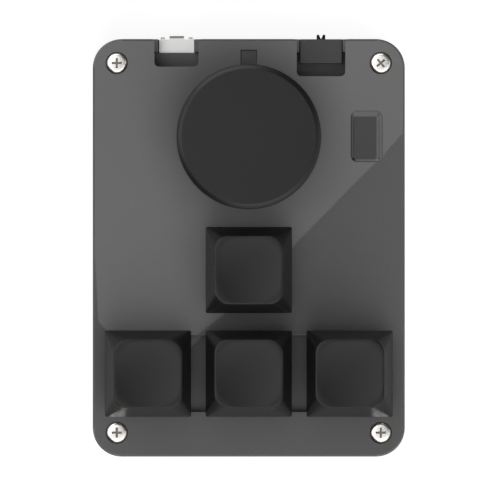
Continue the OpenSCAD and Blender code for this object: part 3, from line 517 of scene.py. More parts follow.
def turned(bm, profile, steps, centre=(0.0, 0.0)):
    """A body turned about the upright axis through centre, from (radius, height) pairs"""
    verts = [bm.verts.new((r, 0.0, z)) for r, z in profile]
    edges = [bm.edges.new(pair) for pair in zip(verts, verts[1:])]
    bmesh.ops.spin(bm, geom=verts + edges, cent=(0.0, 0.0, 0.0), axis=(0.0, 0.0, 1.0), angle=tau,
                   steps=steps, use_merge=True, use_duplicate=False)
    bmesh.ops.remove_doubles(bm, verts=[v for v in bm.verts if not v.tag], dist=0.0005)
    move(bm, fresh(bm), (*centre, 0.0))


def arc(cx, cz, radius, start, end, steps):
    """Points of a fillet as (radius, height) pairs, from one angle to another in degrees"""
    angles = [radians(start + (end - start) * i / steps) for i in range(steps + 1)]
    return [(cx + radius * cos(a), cz + radius * sin(a)) for a in angles]


def outline(bm, half_x, half_y, corner, steps, cuts):
    """A closed loop of edges in an empty mesh: a rectangle with round corners and cuts along its sides"""
    verts = bmesh.ops.create_grid(bm, x_segments=1, y_segments=1, size=1.0)["verts"]
    bmesh.ops.scale(bm, vec=(half_x, half_y, 1.0), verts=verts)
    bevel(bm, verts, corner, steps, "VERTICES")
    face = bm.faces[:][0]
    sides = [e for e in face.edges if e.calc_length() > corner]
    bmesh.ops.subdivide_edges(bm, edges=sides, cuts=cuts)
    edges = list(face.edges)
    bmesh.ops.delete(bm, geom=[face], context="FACES_ONLY")
    return edges


def grow(bm, edges, old, new, height):
    """The next outline of a loft: old and new are (half width, half depth, corner radius)"""
    made = bmesh.ops.extrude_edge_only(bm, edges=edges)["geom"]
    for v in only(BMVert, made):
        for i in (0, 1):
            flat, reach = old[i] - old[2], abs(v.co[i])
            if reach <= flat + 0.0001:
                v.co[i] *= (new[i] - new[2]) / flat
            else:
                v.co[i] = copysign(new[i] - new[2] + (reach - flat) * new[2] / old[2], v.co[i])
        v.co.z = height(v.co.x, v.co.y) if callable(height) else height
    return only(BMEdge, made)


def loft(bm, rings, steps, cuts):
    """A closed body through (half width, half depth, corner radius, height) rings, the first at one height"""
    edges = start = outline(bm, *rings[0][:3], steps, cuts)
    for v in {v for e in edges for v in e.verts}:
        v.co.z = rings[0][3]
    for old, new in zip(rings, rings[1:]):
        edges = grow(bm, edges, old, new, new[3])
    for loop in (start, edges):
        bmesh.ops.contextual_create(bm, geom=loop)


def circle(bm, radius, steps, height):
    """The edges of a circle round the upright axis"""
    verts = bmesh.ops.create_circle(bm, cap_ends=False, radius=radius, segments=steps)["verts"]
    move(bm, verts, (0.0, 0.0, height))
    return list({e for v in verts for e in v.link_edges})


def close_above(bm, edges, height):
    """Draws a loop of edges up and closes it"""
    up = bmesh.ops.extrude_edge_only(bm, edges=edges)["geom"]
    move(bm, only(BMVert, up), (0.0, 0.0, height))
    bmesh.ops.contextual_create(bm, geom=only(BMEdge, up))


def outward(bm):
    bmesh.ops.remove_doubles(bm, verts=bm.verts[:], dist=0.0005)
    bmesh.ops.recalc_face_normals(bm, faces=bm.faces[:])


# Operators, one for each group of pieces

class KEYPAD_OT_case(bpy.types.Operator):
    """Rounds the bottom case and gives it its moulded finish"""
    bl_idname = "keypad.case"
    bl_label = "Bottom case"

    def execute(self, context):
        s = context.scene.keypad_case
        plastic = moulded("case plastic", s.case_colour, s.grain, (0.4, 0.52), Coat_Weight=0.3,
                          Coat_Roughness=0.12)
        high = box_mm("bottom_case")[1]
        inner = high.y - 2.5  # Inner face of the rear wall
        foot, reach = 5.0, 1.5  # The openings lie above this height, and this far beside their shells
        gap, to_board, under_board = 0.12, 0.24, 0.4
        shells = (box_mm("port_shell"), box_mm("power_switch_shell"))

        def at_opening(v):
            return foot < v.co.z < high.z - 2.0 and any(low.x - reach < v.co.x < top.x + reach
                                                        for low, top in shells)

        def at_sill(e):
            ends = [v.co for v in e.verts]
            return (all(at_opening(v) and v.co.y > high.y - NEAR for v in e.verts)
                    and abs(ends[0].z - ends[1].z) < NEAR)

        def sill(bm):
            """Draws the rear openings in to their shells and rounds their sills, which reach to the board"""
            for way, edge in [side for low, top in shells for side in ((-1.0, low.x), (1.0, top.x))]:
                for v in bm.verts:
                    if v.co.y > inner - 2.0 * NEAR and v.co.z > foot and 0.2 < way * (v.co.x - edge) < reach:
                        v.co.x = edge + way * gap
                        v.co.y -= to_board if v.co.y < inner + NEAR else 0.0
            round_edges(bm, 0.6, 60.0, 4, at_sill)
            for v in bm.verts:
                if at_opening(v) and abs(v.co.y - inner) < NEAR:
                    v.co.y -= under_board if v.co.z < 10.0 else to_board

        refine("bottom_case", plastic, s.edge * MM, "case_shell", 3, shape=sill)
        return {"FINISHED"}


class KEYPAD_OT_cover(bpy.types.Operator):
    """Rounds the top cover and gives it its matt plastic with a clear sheen"""
    bl_idname = "keypad.cover"
    bl_label = "Top cover"

    def execute(self, context):
        s = context.scene.keypad_case
        sheen = {"Coat_Weight": 1.0, "Coat_Roughness": s.cover_gloss, "Coat_IOR": 1.5}
        # The 0.5 paints shade into the cover's colour and sheen round the knob, keys and screws
        plastic = moulded("cover plastic", s.cover_colour, s.grain, (0.5, 0.62), 0.000006, 0.12, 0.015, 0.5,
                          Specular_IOR_Level=0.12, **sheen)
        high = box_mm("top_cover")[1]
        bm = merged_copy("top_cover")
        rim, small, wide = s.cover_edge * MM, 0.05, 0.12

        def at_mouth(e):
            first, last = (v.co for v in e.verts)
            upright = abs(first.z - last.z) > 1.0
            return upright and min(first.y, last.y) > high.y - NEAR and abs(first.x) < high.x - 9.0

        def at_top(e):
            return min(v.co.z for v in e.verts) > high.z - NEAR

        def rounding(reach):
            """The rounding for a loop of edges by its reach: the outline, the small openings or the others"""
            return rim if reach > 100.0 else small if reach < 14.0 else wide

        round_edges(bm, s.mouth * MM, 60.0, 5, at_mouth)
        for width in (rim, small, wide):
            found = [e for group, reach in loops(sharp_edges(bm, 60.0, at_top))
                     if rounding(reach) == width for e in group]
            round_edges(bm, width, segments=3, found=found)
        finish_piece(bm, "cover_plate", "top_cover", plastic)
        return {"FINISHED"}


class KEYPAD_OT_feet(bpy.types.Operator):
    """Turns the four rubber feet"""
    bl_idname = "keypad.feet"
    bl_label = "Rubber feet"

    def execute(self, context):
        rubber = rubbery("foot rubber", context.scene.keypad_case.rubber_colour)
        radius, edge, cut, hollow = 4.0, 0.3, 0.1, 0.25
        high = box_mm("rubber_feet")[1]
        profile = [(0.0, hollow), (1.6, hollow), (1.9, 0.0), *arc(radius - edge, edge, edge, -90, 0, 4),
                   (radius, high.z - cut), (radius - cut, high.z), (0.0, high.z)]
        bm = bmesh.new()
        for place in corners("rubber_feet", radius):
            turned(bm, profile, 48, place)
        outward(bm)
        finish_piece(bm, "foot_pads", "rubber_feet", rubber)
        return {"FINISHED"}


class KEYPAD_OT_fasteners(bpy.types.Operator):
    """Models the cover and board screws with their cross recesses, and rounds the threaded inserts"""
    bl_idname = "keypad.fasteners"
    bl_label = "Screws and inserts"

    def execute(self, context):
        s = context.scene.keypad_metal
        # The last argument paints shade into the screws' marked recesses
        steel = metallic("screw steel", s.screw_colour, (0.26, 0.3), EVEN, 0.02, 0.0, True)
        brass = metallic("insert brass", (0.78, 0.5, 0.2), (0.24, 0.36))
        high = box_mm("cover_screws")[1]
        x, y = high.x - 2.0, high.y - 2.0
        places = [((-x, -y), 0.0), ((-x, y), 0.0), ((x, -y), 0.0), ((x, y), radians(40.0))]
        self.screws("cover_screws", "cover_screw_set", places, 7.0, steel)
        places = [(place, 0.3) for place in corners("board_screws", 2.0)]
        self.screws("board_screws", "board_screw_set", places, 5.0, steel)
        bm = merged_copy("threaded_inserts")
        round_edges(bm, 0.08, 50.0, 1)
        finish_piece(bm, "insert_set", "threaded_inserts", brass)
        return {"FINISHED"}

    def screws(self, node, name, places, shank, material):
        """Pan heads on threaded shanks, each turned and with a tapered cross cut into its head"""
        radius, tall, pitch, root = 2.0, 1.3, 0.4, 0.8  # Seat and height of the head, thread
        head = ([(0.0, tall), (0.8, 1.29), (1.35, 1.26)] + arc(1.6, 0.82, 0.42, 84, 36, 7)
                + [(1.99, 0.99), (2.26, 0.8), (2.27, 0.1), (radius, 0.0)])
        thread = [(1.0, 0.0)]
        for i in range(int((shank - 0.7) / pitch)):
            z = -0.2 - pitch * i
            thread += [(root, z - 0.1), (1.0, z - 0.2), (1.0, z - 0.26), (root, z - 0.38)]
        thread += [(root, -shank + 0.3), (0.55, -shank), (0.0, -shank)]
        high = box_mm(node)[1]
        for index, (place, angle) in enumerate(places):
            screw, cutter = bmesh.new(), bmesh.new()
            turned(screw, head + thread, 48)
            outward(screw)
            for arm in (0.0, pi / 2.0):
                verts = block(cutter, (-1.12, -0.24, 0.85), (1.12, 0.24, 1.5))
                for v in verts:
                    v.co.xy *= 0.8 if v.co.z < 1.0 else 1.0
                turn(cutter, verts, arm)
            cut = cut_away(screw, cutter)
            # Painted shade: the cross recess is marked fully and the flange under the head's rim mostly, so
            # both come out dark
            recess_shade = cut.faces.layers.float.new("recess")
            for f in cut.faces:
                centre = f.calc_center_median()
                cross = centre.xy.length < 1.2 and 0.5 < centre.z < 1.24
                f[recess_shade] = 1.0 if cross else 0.8 if centre.xy.length > radius and centre.z > 0.5 else 0.0
            turn(cut, cut.verts[:], angle)
            move(cut, cut.verts[:], (*place, high.z - tall))
            finish_piece(cut, f"{name}_{index + 1}", node, material, sharp=32.0, even=False)


def cut_away(body, cutter):
    """The body less the cutter, by an exact Boolean modifier on passing objects"""
    made = [put(name, fixed(bm, name)) for name, bm in (("body", body), ("cutter", cutter))]
    cut = made[0].modifiers.new("Cut", "BOOLEAN")
    cut.operation, cut.solver, cut.object, cut.use_self = "DIFFERENCE", "EXACT", made[1], True
    bpy.context.view_layer.update()
    seen = made[0].evaluated_get(bpy.context.evaluated_depsgraph_get())
    bm = bmesh.new()
    take_in(bm, bpy.data.meshes.new_from_object(seen))
    for item in made:
        mesh = item.data
        bpy.data.objects.remove(item)
        bpy.data.meshes.remove(mesh)
    return bm


class KEYPAD_OT_keycaps(bpy.types.Operator):
    """Lofts the four dished keycaps with their cross sockets"""
    bl_idname = "keypad.keycaps"
    bl_label = "Keycaps"

    def execute(self, context):
        s = context.scene.keypad_key
        plastic = moulded("keycap plastic", s.cap_colour, 0.0003, (0.3, 0.38), 0.000004, 0.15, 0.03,
                          Specular_IOR_Level=0.28)
        low, high = box_mm("keycap_up")
        stem_high = box_mm("stem_up")[1]
        cap = bmesh.new()
        self.shell(cap, s, (high.x - low.x) / 2.0, high.z - low.z)
        self.post(cap, stem_high.z - 3.5 - low.z, high.z - low.z - 1.2, stem_high.z - low.z + 0.2)
        for key in KEYS:
            at, piece = middle(f"keycap_{key}"), cap.copy()
            move(piece, piece.verts[:], (at.x, at.y, low.z))
            finish_piece(piece, f"{key}_keycap", f"keycap_{key}", plastic, 50.0, False)
        cap.free()
        return {"FINISHED"}

    def shell(self, bm, s, skirt, tall):
        """From the ceiling of the hollow, down its walls, round the skirt and up to the dish"""
        top, corner = s.top_width * MM / 2.0, s.top_corner * MM
        foot, rim = s.skirt_corner * MM, s.rim * MM
        ball, deep = s.dish_radius * MM, s.dish_depth * MM
        wall, cut, ceiling = 1.2, 0.12, tall - deep - 1.4

        def dish(x, y):
            return min(tall, tall - deep + ball - sqrt(ball * ball - x * x - y * y))

        def side(z, inset=0.0):
            share = z / tall
            half = skirt + (top - skirt) * share - inset
            return (half, half, max(0.2, foot + (corner - foot) * share - inset / 2.0), z)

        def below(drop):
            return lambda x, y: dish(x, y) - drop

        rings = [side(ceiling, wall), side(ceiling * 0.5, wall), side(0.15, wall), side(0.0, wall - cut),
                 side(0.0, cut), side(cut)]
        rings += [side(tall * share) for share in (0.25, 0.5, 0.75)] + [side(tall - rim - 0.4)]
        knee = side(tall - rim - 0.1)
        rings.append((*knee[:3], below(rim)))
        for inset, drop in ((0.08, 0.62), (0.25, 0.3), (0.55, 0.08), (1.0, 0.0)):
            half = knee[0] - rim * inset
            rings.append((half, half, knee[2] - rim * inset * 0.5, below(rim * drop)))
        last, steps = rings[-1][:3], 14
        for step in range(steps - 1, 0, -1):
            rings.append((*(size * step / steps for size in last), dish))
        loft(bm, rings, 8, 11)
        outward(bm)

    def post(self, bm, low, high, socket):
        """The round post with the cross-shaped socket for the stem"""
        post = bmesh.new()
        grid = bmesh.ops.create_grid(post, x_segments=3, y_segments=3, size=1.0)["verts"]
        for v in grid:
            for i in (0, 1):
                v.co[i] = copysign(2.05 if abs(v.co[i]) > 0.9 else 0.65, v.co[i])
            v.co.z = low
        outer = [f for f in post.faces if all(abs(c) > 1.0 for c in f.calc_center_median()[:2])]
        bmesh.ops.delete(post, geom=outer, context="FACES")
        bmesh.ops.subdivide_edges(post, edges=[e for e in post.edges if e.is_boundary], cuts=3)
        inner = [e for e in post.edges if e.is_boundary]
        cross = post.faces[:]
        rim = circle(post, 2.7, 48, low)
        bmesh.ops.bridge_loops(post, edges=inner + rim)
        raised = bmesh.ops.extrude_face_region(post, geom=cross)["geom"]
        bmesh.ops.delete(post, geom=cross, context="FACES_ONLY")
        move(post, only(BMVert, raised), (0.0, 0.0, socket - low))
        close_above(post, rim, high - low)
        outward(post)
        take_in(bm, fixed(post, "post"))


class KEYPAD_OT_switches(bpy.types.Operator):
    """Refines the key switches and winds their return springs"""
    bl_idname = "keypad.switches"
    bl_label = "Key switches"

    def execute(self, context):
        s = context.scene.keypad_key
        shell = moulded("switch plastic", (0.014, 0.014, 0.015), 0.00026, (0.34, 0.46), Coat_Weight=0.2)
        housing = moulded("housing plastic", (0.026, 0.026, 0.027), 0.00026, (0.3, 0.42), Coat_Weight=0.25)
        stem = moulded("stem plastic", s.stem_colour, 0.0003, (0.3, 0.4), 0.000004)
        wire = metallic("spring steel", (0.62, 0.61, 0.6), (0.2, 0.3))
        for key in KEYS:
            refine(f"switch_base_{key}", shell, 0.12, f"{key}_switch_base")
            refine(f"switch_top_{key}", housing, 0.2, f"{key}_switch_housing", 3)
            refine(f"stem_{key}", stem, 0.1, f"{key}_switch_stem")
            self.spring(key, wire)
        dress("switch_pins", solder("solder"))
        return {"FINISHED"}

    def spring(self, key, material):
        """One wire wound in an even helix with closed end turns, on a mesh of its own"""
        low, high = box_mm(f"spring_{key}")
        centre, wire, turns, steps = middle(f"spring_{key}"), 0.15, 7, 24
        radius = (high.x - low.x) / 2.0 - wire
        curve = bpy.data.curves.new(f"{key}_spring", "CURVE")
        curve.dimensions, curve.use_fill_caps = "3D", True
        curve.bevel_depth, curve.bevel_resolution = wire / MM, 2
        spline = curve.splines.new("POLY")
        count = turns * steps
        spline.points.add(count)
        ends, closed = 0.9 / turns, 2.0 * wire  # Share and climb of each closed end turn
        for i, point in enumerate(spline.points):
            t = i / count
            climb = min(1.0, max(0.0, (t - ends) / (1.0 - 2.0 * ends)))
            z = low.z + wire + climb * (high.z - low.z - 2.0 * wire - 2.0 * closed)
            z += (min(t, ends) + max(0.0, t - 1.0 + ends)) / ends * closed
            x = centre.x + radius * cos(tau * turns * t)
            y = centre.y + radius * sin(tau * turns * t)
            point.co = (x / MM, y / MM, z / MM, 1.0)
        coil = bpy.data.objects.new("coil", curve)
        bm = bmesh.new()
        take_in(bm, bpy.data.meshes.new_from_object(coil))
        bpy.data.objects.remove(coil)
        bpy.data.curves.remove(curve)
        scale(bm, MM)
        outward(bm)
        piece = finish_piece(bm, f"{key}_return_spring", f"spring_{key}", material,
                             even=False)
        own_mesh(piece)


class KEYPAD_OT_dial(bpy.types.Operator):
    """Turns the dial knob, with the D-shaped bore and the ribs inside it"""
    bl_idname = "keypad.dial"
    bl_label = "Dial knob"

    def execute(self, context):
        s = context.scene.keypad_dial
        plastic = moulded("knob plastic", s.knob_colour, 0.00028, (0.3, 0.38), 0.000004, 0.15, 0.03,
                          Specular_IOR_Level=0.31)
        low, high = box_mm("dial_knob")
        at = middle("dial_knob")
        foot = (high.x - low.x) / 2.0
        face, slope = s.face_width * MM / 2.0, s.shoulder * MM
        neck, wall, edge, bend = face + slope, 2.0, 0.3, 0.06
        start, end = 70.0, 45.0  # Angles between which the shoulder's arc runs, in degrees
        reach = (slope - bend * (1.0 - cos(radians(end)))) / (cos(radians(end)) - cos(radians(start)))
        hinge = (face - reach * cos(radians(start)), high.z - reach * sin(radians(start)))
        knee = (neck - bend, hinge[1] + (reach - bend) * sin(radians(end)))
        ceiling = high.z - wall
        bm = bmesh.new()
        turned(bm, [(0.0, high.z), (face * 0.5, high.z), (face, high.z),
                    *arc(*hinge, reach, start, end, 8)[1:], *arc(*knee, bend, end, 0, 4)[1:],
                    ((neck + foot) / 2.0, (high.z + low.z) / 2.0),
                    *arc(foot - edge, low.z + edge, edge, 0, -90, 4), (foot - wall, low.z),
                    (neck - wall, ceiling - 0.5), (neck - wall - 0.5, ceiling), (0.0, ceiling)], 160)
        outward(bm)
        hub_low = box_mm("encoder_bush")[1].z + 0.9
        self.hub(bm, hub_low, box_mm("dial_shaft")[1].z + 0.2, high.z - 1.0)
        ribs = 6
        for i in range(ribs):
            block(bm, (4.6, -0.6, hub_low + 1.0), (neck - wall + 0.4, 0.6, high.z - 1.0), 0.12)
            turn(bm, fresh(bm), i * tau / ribs)
        move(bm, bm.verts[:], (at.x, at.y, 0.0))
        finish_piece(bm, "knob_shell", "dial_knob", plastic, sharp=50.0)
        return {"FINISHED"}

    def hub(self, bm, low, bore_high, high):
        """A round hub with a D-shaped bore that is closed at its upper end"""
        hub = bmesh.new()
        rim, bore = circle(hub, 5.0, 64, low), circle(hub, 3.05, 64, low)
        for v in {v for e in bore for v in e.verts}:
            v.co.y = min(v.co.y, 1.55)
        bmesh.ops.bridge_loops(hub, edges=rim + bore)
        close_above(hub, rim, high - low)
        close_above(hub, bore, bore_high - low)
        outward(hub)
        take_in(bm, fixed(hub, "hub"))
        fresh(bm)


class KEYPAD_OT_encoder(bpy.types.Operator):
    """Refines the rotary encoder under the knob"""
    bl_idname = "keypad.encoder"
    bl_label = "Rotary encoder"

    def execute(self, context):
        base = moulded("encoder plastic", (0.02, 0.02, 0.021), 0.0003, (0.4, 0.5))
        rotor = moulded("rotor plastic", (0.62, 0.58, 0.46), 0.0003, (0.36, 0.46))
        sheet_steel = metallic("tinned steel", (0.64, 0.64, 0.65), (0.24, 0.36))
        zinc = metallic("bush zinc", (0.6, 0.6, 0.6), (0.28, 0.4), EVEN)
        spring = metallic("detent steel", (0.55, 0.54, 0.53), (0.2, 0.3))
        shaft = metallic("shaft metal", (0.68, 0.68, 0.69), (0.16, 0.28), (12.0, 12.0, 0.6))
        refine("encoder_base", base, 0.15, "encoder_body")
        refine("encoder_bracket", sheet_steel, 0.12, "encoder_cover")
        refine("encoder_bush", zinc, 0.15, "encoder_sleeve", 2, 50.0)
        refine("encoder_rotor", rotor, 0.1, "encoder_wheel", 2, 50.0)
        refine("detent_spring", spring, 0.04, "click_spring", 1, 50.0)
        refine("dial_shaft", shaft, 0.2, "encoder_shaft", 2, 50.0)
        dress("encoder_pins", solder("pin solder"))
        return {"FINISHED"}


class KEYPAD_OT_connector(bpy.types.Operator):
    """Refines the connector: folded shell with flared lips, tongue and contacts"""
    bl_idname = "keypad.connector"
    bl_label = "Connector"

    def execute(self, context):
        s = context.scene.keypad_metal
        rear = box_mm("top_cover")[1].y
        steel = metallic("port steel", s.steel_colour, (0.28, 0.32), (6.0, 1.0, 1.0), 0.05, 0.0,
                         tip=(rear + 0.25) / MM)
        plastic = moulded("tongue plastic", (0.018, 0.018, 0.019), 0.0002, (0.36, 0.46))
        gold = metallic("gold contact", s.gold_colour, (0.18, 0.28))
        mouth = box_mm("port_shell")[1].y - 0.4
        at = middle("port_shell")

        def station(v):
            out = v.co.y - mouth
            return 0 if out < -0.1 else 1 if out < 0.1 else 2 if out < 0.3 else 3

        def flare(bm):
            """Draws the mouth in to the rear face and bends its lips outwards and back"""
            along = [e for e in bm.edges if {station(v) for v in e.verts} == {1, 3}]
            bmesh.ops.subdivide_edges(bm, edges=along, cuts=1)
            bends = {1: (0.06, 0.06, 0.0), 2: (0.27, 0.22, 0.09), 3: (0.72, 0.42, -0.1)}  # Ahead, aside, rise
            for v in bm.verts:
                if station(v):
                    ahead, aside, rise = bends[station(v)]
                    v.co.y = rear + (ahead if abs(v.co.x - at.x) < 2.0 else aside)
                    v.co.z += copysign(rise, v.co.z - at.z)

        refine("port_shell", steel, 0.08, "port_sleeve", shape=flare)
        refine("port_tongue", plastic, 0.06, "port_blade")
        refine("port_contacts", gold, 0.03, "port_pins", 1)
        return {"FINISHED"}


class KEYPAD_OT_power_switch(bpy.types.Operator):
    """Refines the power slide switch and its grooved lever"""
    bl_idname = "keypad.power_switch"
    bl_label = "Power switch"

    def execute(self, context):
        body = moulded("slide body plastic", (0.02, 0.02, 0.021), 0.0003, (0.4, 0.5))
        shell = metallic("blackened steel", (0.064, 0.064, 0.065), (0.4, 0.5), relief=0.000001)
        lever = moulded("lever plastic", (0.004, 0.004, 0.004), 0.00025, (0.5, 0.6), 0.000004, 0.3,
                        Specular_IOR_Level=0.15)
        refine("power_switch_body", body, 0.06, "slide_body")
        refine("power_switch_shell", shell, 0.12, "slide_shell", 3)
        high, at = box_mm("power_lever")[1], middle("power_lever")

        def spread(bm):
            """Opens the round groove into a blunt notch between two horns"""
            deep = 0.86
            for v in bm.verts:
                aside = abs(v.co.x - at.x)
                if aside < 0.62 and high.y - 0.7 < v.co.y:
                    v.co.x = at.x + (v.co.x - at.x) * 0.66
                    v.co.y = high.y - deep * (1.0 - min(1.0, (aside / 0.6) ** 1.5))

        refine("power_lever", lever, 0.14, "slide_lever", 3, shape=spread)
        dress("power_switch_pins", solder("slide solder"))
        return {"FINISHED"}


class KEYPAD_OT_mode_button(bpy.types.Operator):
    """Lofts the flush mode button and refines the push switch under it"""
    bl_idname = "keypad.mode_button"
    bl_label = "Mode button"

    def execute(self, context):
        s = context.scene.keypad_dial
        plastic = moulded("button plastic", s.button_colour, 0.0003, (0.34, 0.44), 0.000005, 0.1, 0.03,
                          Specular_IOR_Level=0.3, Coat_Weight=1.0, Coat_Roughness=0.15)
        black = moulded("push switch plastic", (0.016, 0.016, 0.017), 0.0003, (0.4, 0.5))
        frame_steel = metallic("push switch frame", (0.6, 0.6, 0.61), (0.24, 0.34))
        low, high = box_mm("mode_button")
        at = middle("mode_button")
        half_x, half_y = (high.x - low.x) / 2.0, (high.y - low.y) / 2.0
        slope, hollow = s.button_slope * MM, s.button_hollow * MM
        lip, corner, thick, tall, cut = 0.56, 1.25, 0.8, box_mm("top_cover")[1].z - low.z, 0.1

        def ring(inset, z, radius):
            return (half_x - inset, half_y - inset, radius, z)

        rings = [ring(cut, 0.0, corner + lip - cut), ring(0.0, cut, corner + lip),
                 ring(0.0, thick - cut, corner + lip), ring(cut, thick, corner + lip - cut),
                 ring(lip, thick, corner)]
        steps = [(0.0, tall - 0.06), (0.02, tall - 0.02), (0.06, tall)]
        steps += [(0.09 + slope * i / 8.0, tall - hollow * (0.5 - 0.5 * cos(pi * i / 8.0))) for i in range(9)]
        rings += [ring(lip + inset, z, max(0.4, corner - inset)) for inset, z in steps]
        bm = bmesh.new()
        loft(bm, rings, 8, 4)
        outward(bm)
        inside = lip + 0.07
        for v in bm.verts:
            if v.co.z > thick + 0.1 and abs(v.co.x) < half_x - inside and abs(v.co.y) < half_y - inside:
                v.co.xy -= Vector((0.3, 0.3)) * min(1.0, (tall - v.co.z) / hollow)
        move(bm, bm.verts[:], (at.x, at.y, low.z))
        finish_piece(bm, "mode_key", "mode_button", plastic, sharp=50.0)
        refine("button_switch_body", black, 0.12, "push_switch_base")
        refine("button_switch_frame", frame_steel, 0.04, "push_switch_lid", 1)
        refine("button_plunger", black, 0.2, "push_switch_plunger", 2, 50.0)
        return {"FINISHED"}


class KEYPAD_OT_light(bpy.types.Operator):
    """Refines the small light window and the light under it"""
    bl_idname = "keypad.light"
    bl_label = "Light window"

    def execute(self, context):
        window = smoked_clear("window plastic", (0.1, 0.101, 0.102), (0.42, 0.52), Specular_IOR_Level=0.3)
        lens = smoked_clear("light lens", (0.75, 0.74, 0.62), (0.2, 0.3))
        self.window(window)
        refine("status_led", lens, 0.1, "status_light")
        return {"FINISHED"}

    def window(self, material):
        """Lets the window's rim fall at the rear, where a wider slope leads up to its face"""
        high = box_mm("light_window")[1]
        bm = merged_copy("light_window")
        rim, fall, bank, slope, sunk = 0.12, 0.15, 0.14, 0.6, 0.05
        face = [f for f in bm.faces if f.calc_center_median().z > high.z - NEAR][0]
        bmesh.ops.inset_region(bm, faces=[face], thickness=rim)
        rear = max(v.co.y for v in face.verts)
        for v in face.verts:
            v.co.z -= fall if v.co.y > rear - 0.1 else 0.0
        bmesh.ops.inset_region(bm, faces=[face], thickness=bank)
        for v in face.verts:
            v.co.y -= slope if v.co.y > rear - 0.3 else 0.0
            v.co.z = high.z - sunk
        round_edges(bm, 0.07, 20.0, 2)
        finish_piece(bm, "light_guide", "light_window", material)


class KEYPAD_OT_board(bpy.types.Operator):
    """Finishes the circuit board and the parts on it"""
    bl_idname = "keypad.board"
    bl_label = "Circuit board"

    def execute(self, context):
        board = circuit_board("main board mask", (0.125, 0.126, 0.126), (0.122, 0.122, 0.118))
        radio = circuit_board("radio board mask", (0.012, 0.025, 0.05), (0.05, 0.07, 0.09))
        shield = metallic("shield steel", (0.64, 0.64, 0.65), (0.26, 0.38))
        chip = moulded("chip plastic", (0.015, 0.015, 0.016), 0.00022, (0.5, 0.62))
        ceramic = moulded("small ceramics", (0.4, 0.27, 0.14), 0.0002, (0.4, 0.5))
        refine("main_board", board, 0.06, "circuit_plate", 1)
        refine("radio_board", radio, 0.06, "radio_plate", 1)
        refine("radio_shield", shield, 0.2, "radio_can", 3)
        refine("board_chips", chip, 0.12, "chip_set", 1)
        refine("small_parts", ceramic, 0.1, "passive_set")
        return {"FINISHED"}


class KEYPAD_OT_battery(bpy.types.Operator):
    """Finishes the battery pouch, its pad, its leads and their plug"""
    bl_idname = "keypad.battery"
    bl_label = "Battery"

    def execute(self, context):
        foil = pouch_foil("battery foil", (0.56, 0.565, 0.57))
        pad = foam("foam pad", (0.72, 0.7, 0.62))
        red = moulded("red insulation", (0.42, 0.02, 0.015), 0.0003, (0.3, 0.42), 0.000004, 0.0)
        black = moulded("black insulation", (0.014, 0.014, 0.015), 0.0003, (0.3, 0.42), 0.000004, 0.0)
        pale = moulded("pale plastic", (0.7, 0.68, 0.6), 0.0003, (0.36, 0.46))
        refine("battery_cell", foil, 0.9, "battery_pouch", 4)
        dress("battery_pad", pad)
        dress("red_lead", red)
        dress("black_lead", black)
        refine("battery_plug", pale, 0.15, "lead_plug")
        refine("battery_socket", pale, 0.12, "lead_socket")
        return {"FINISHED"}


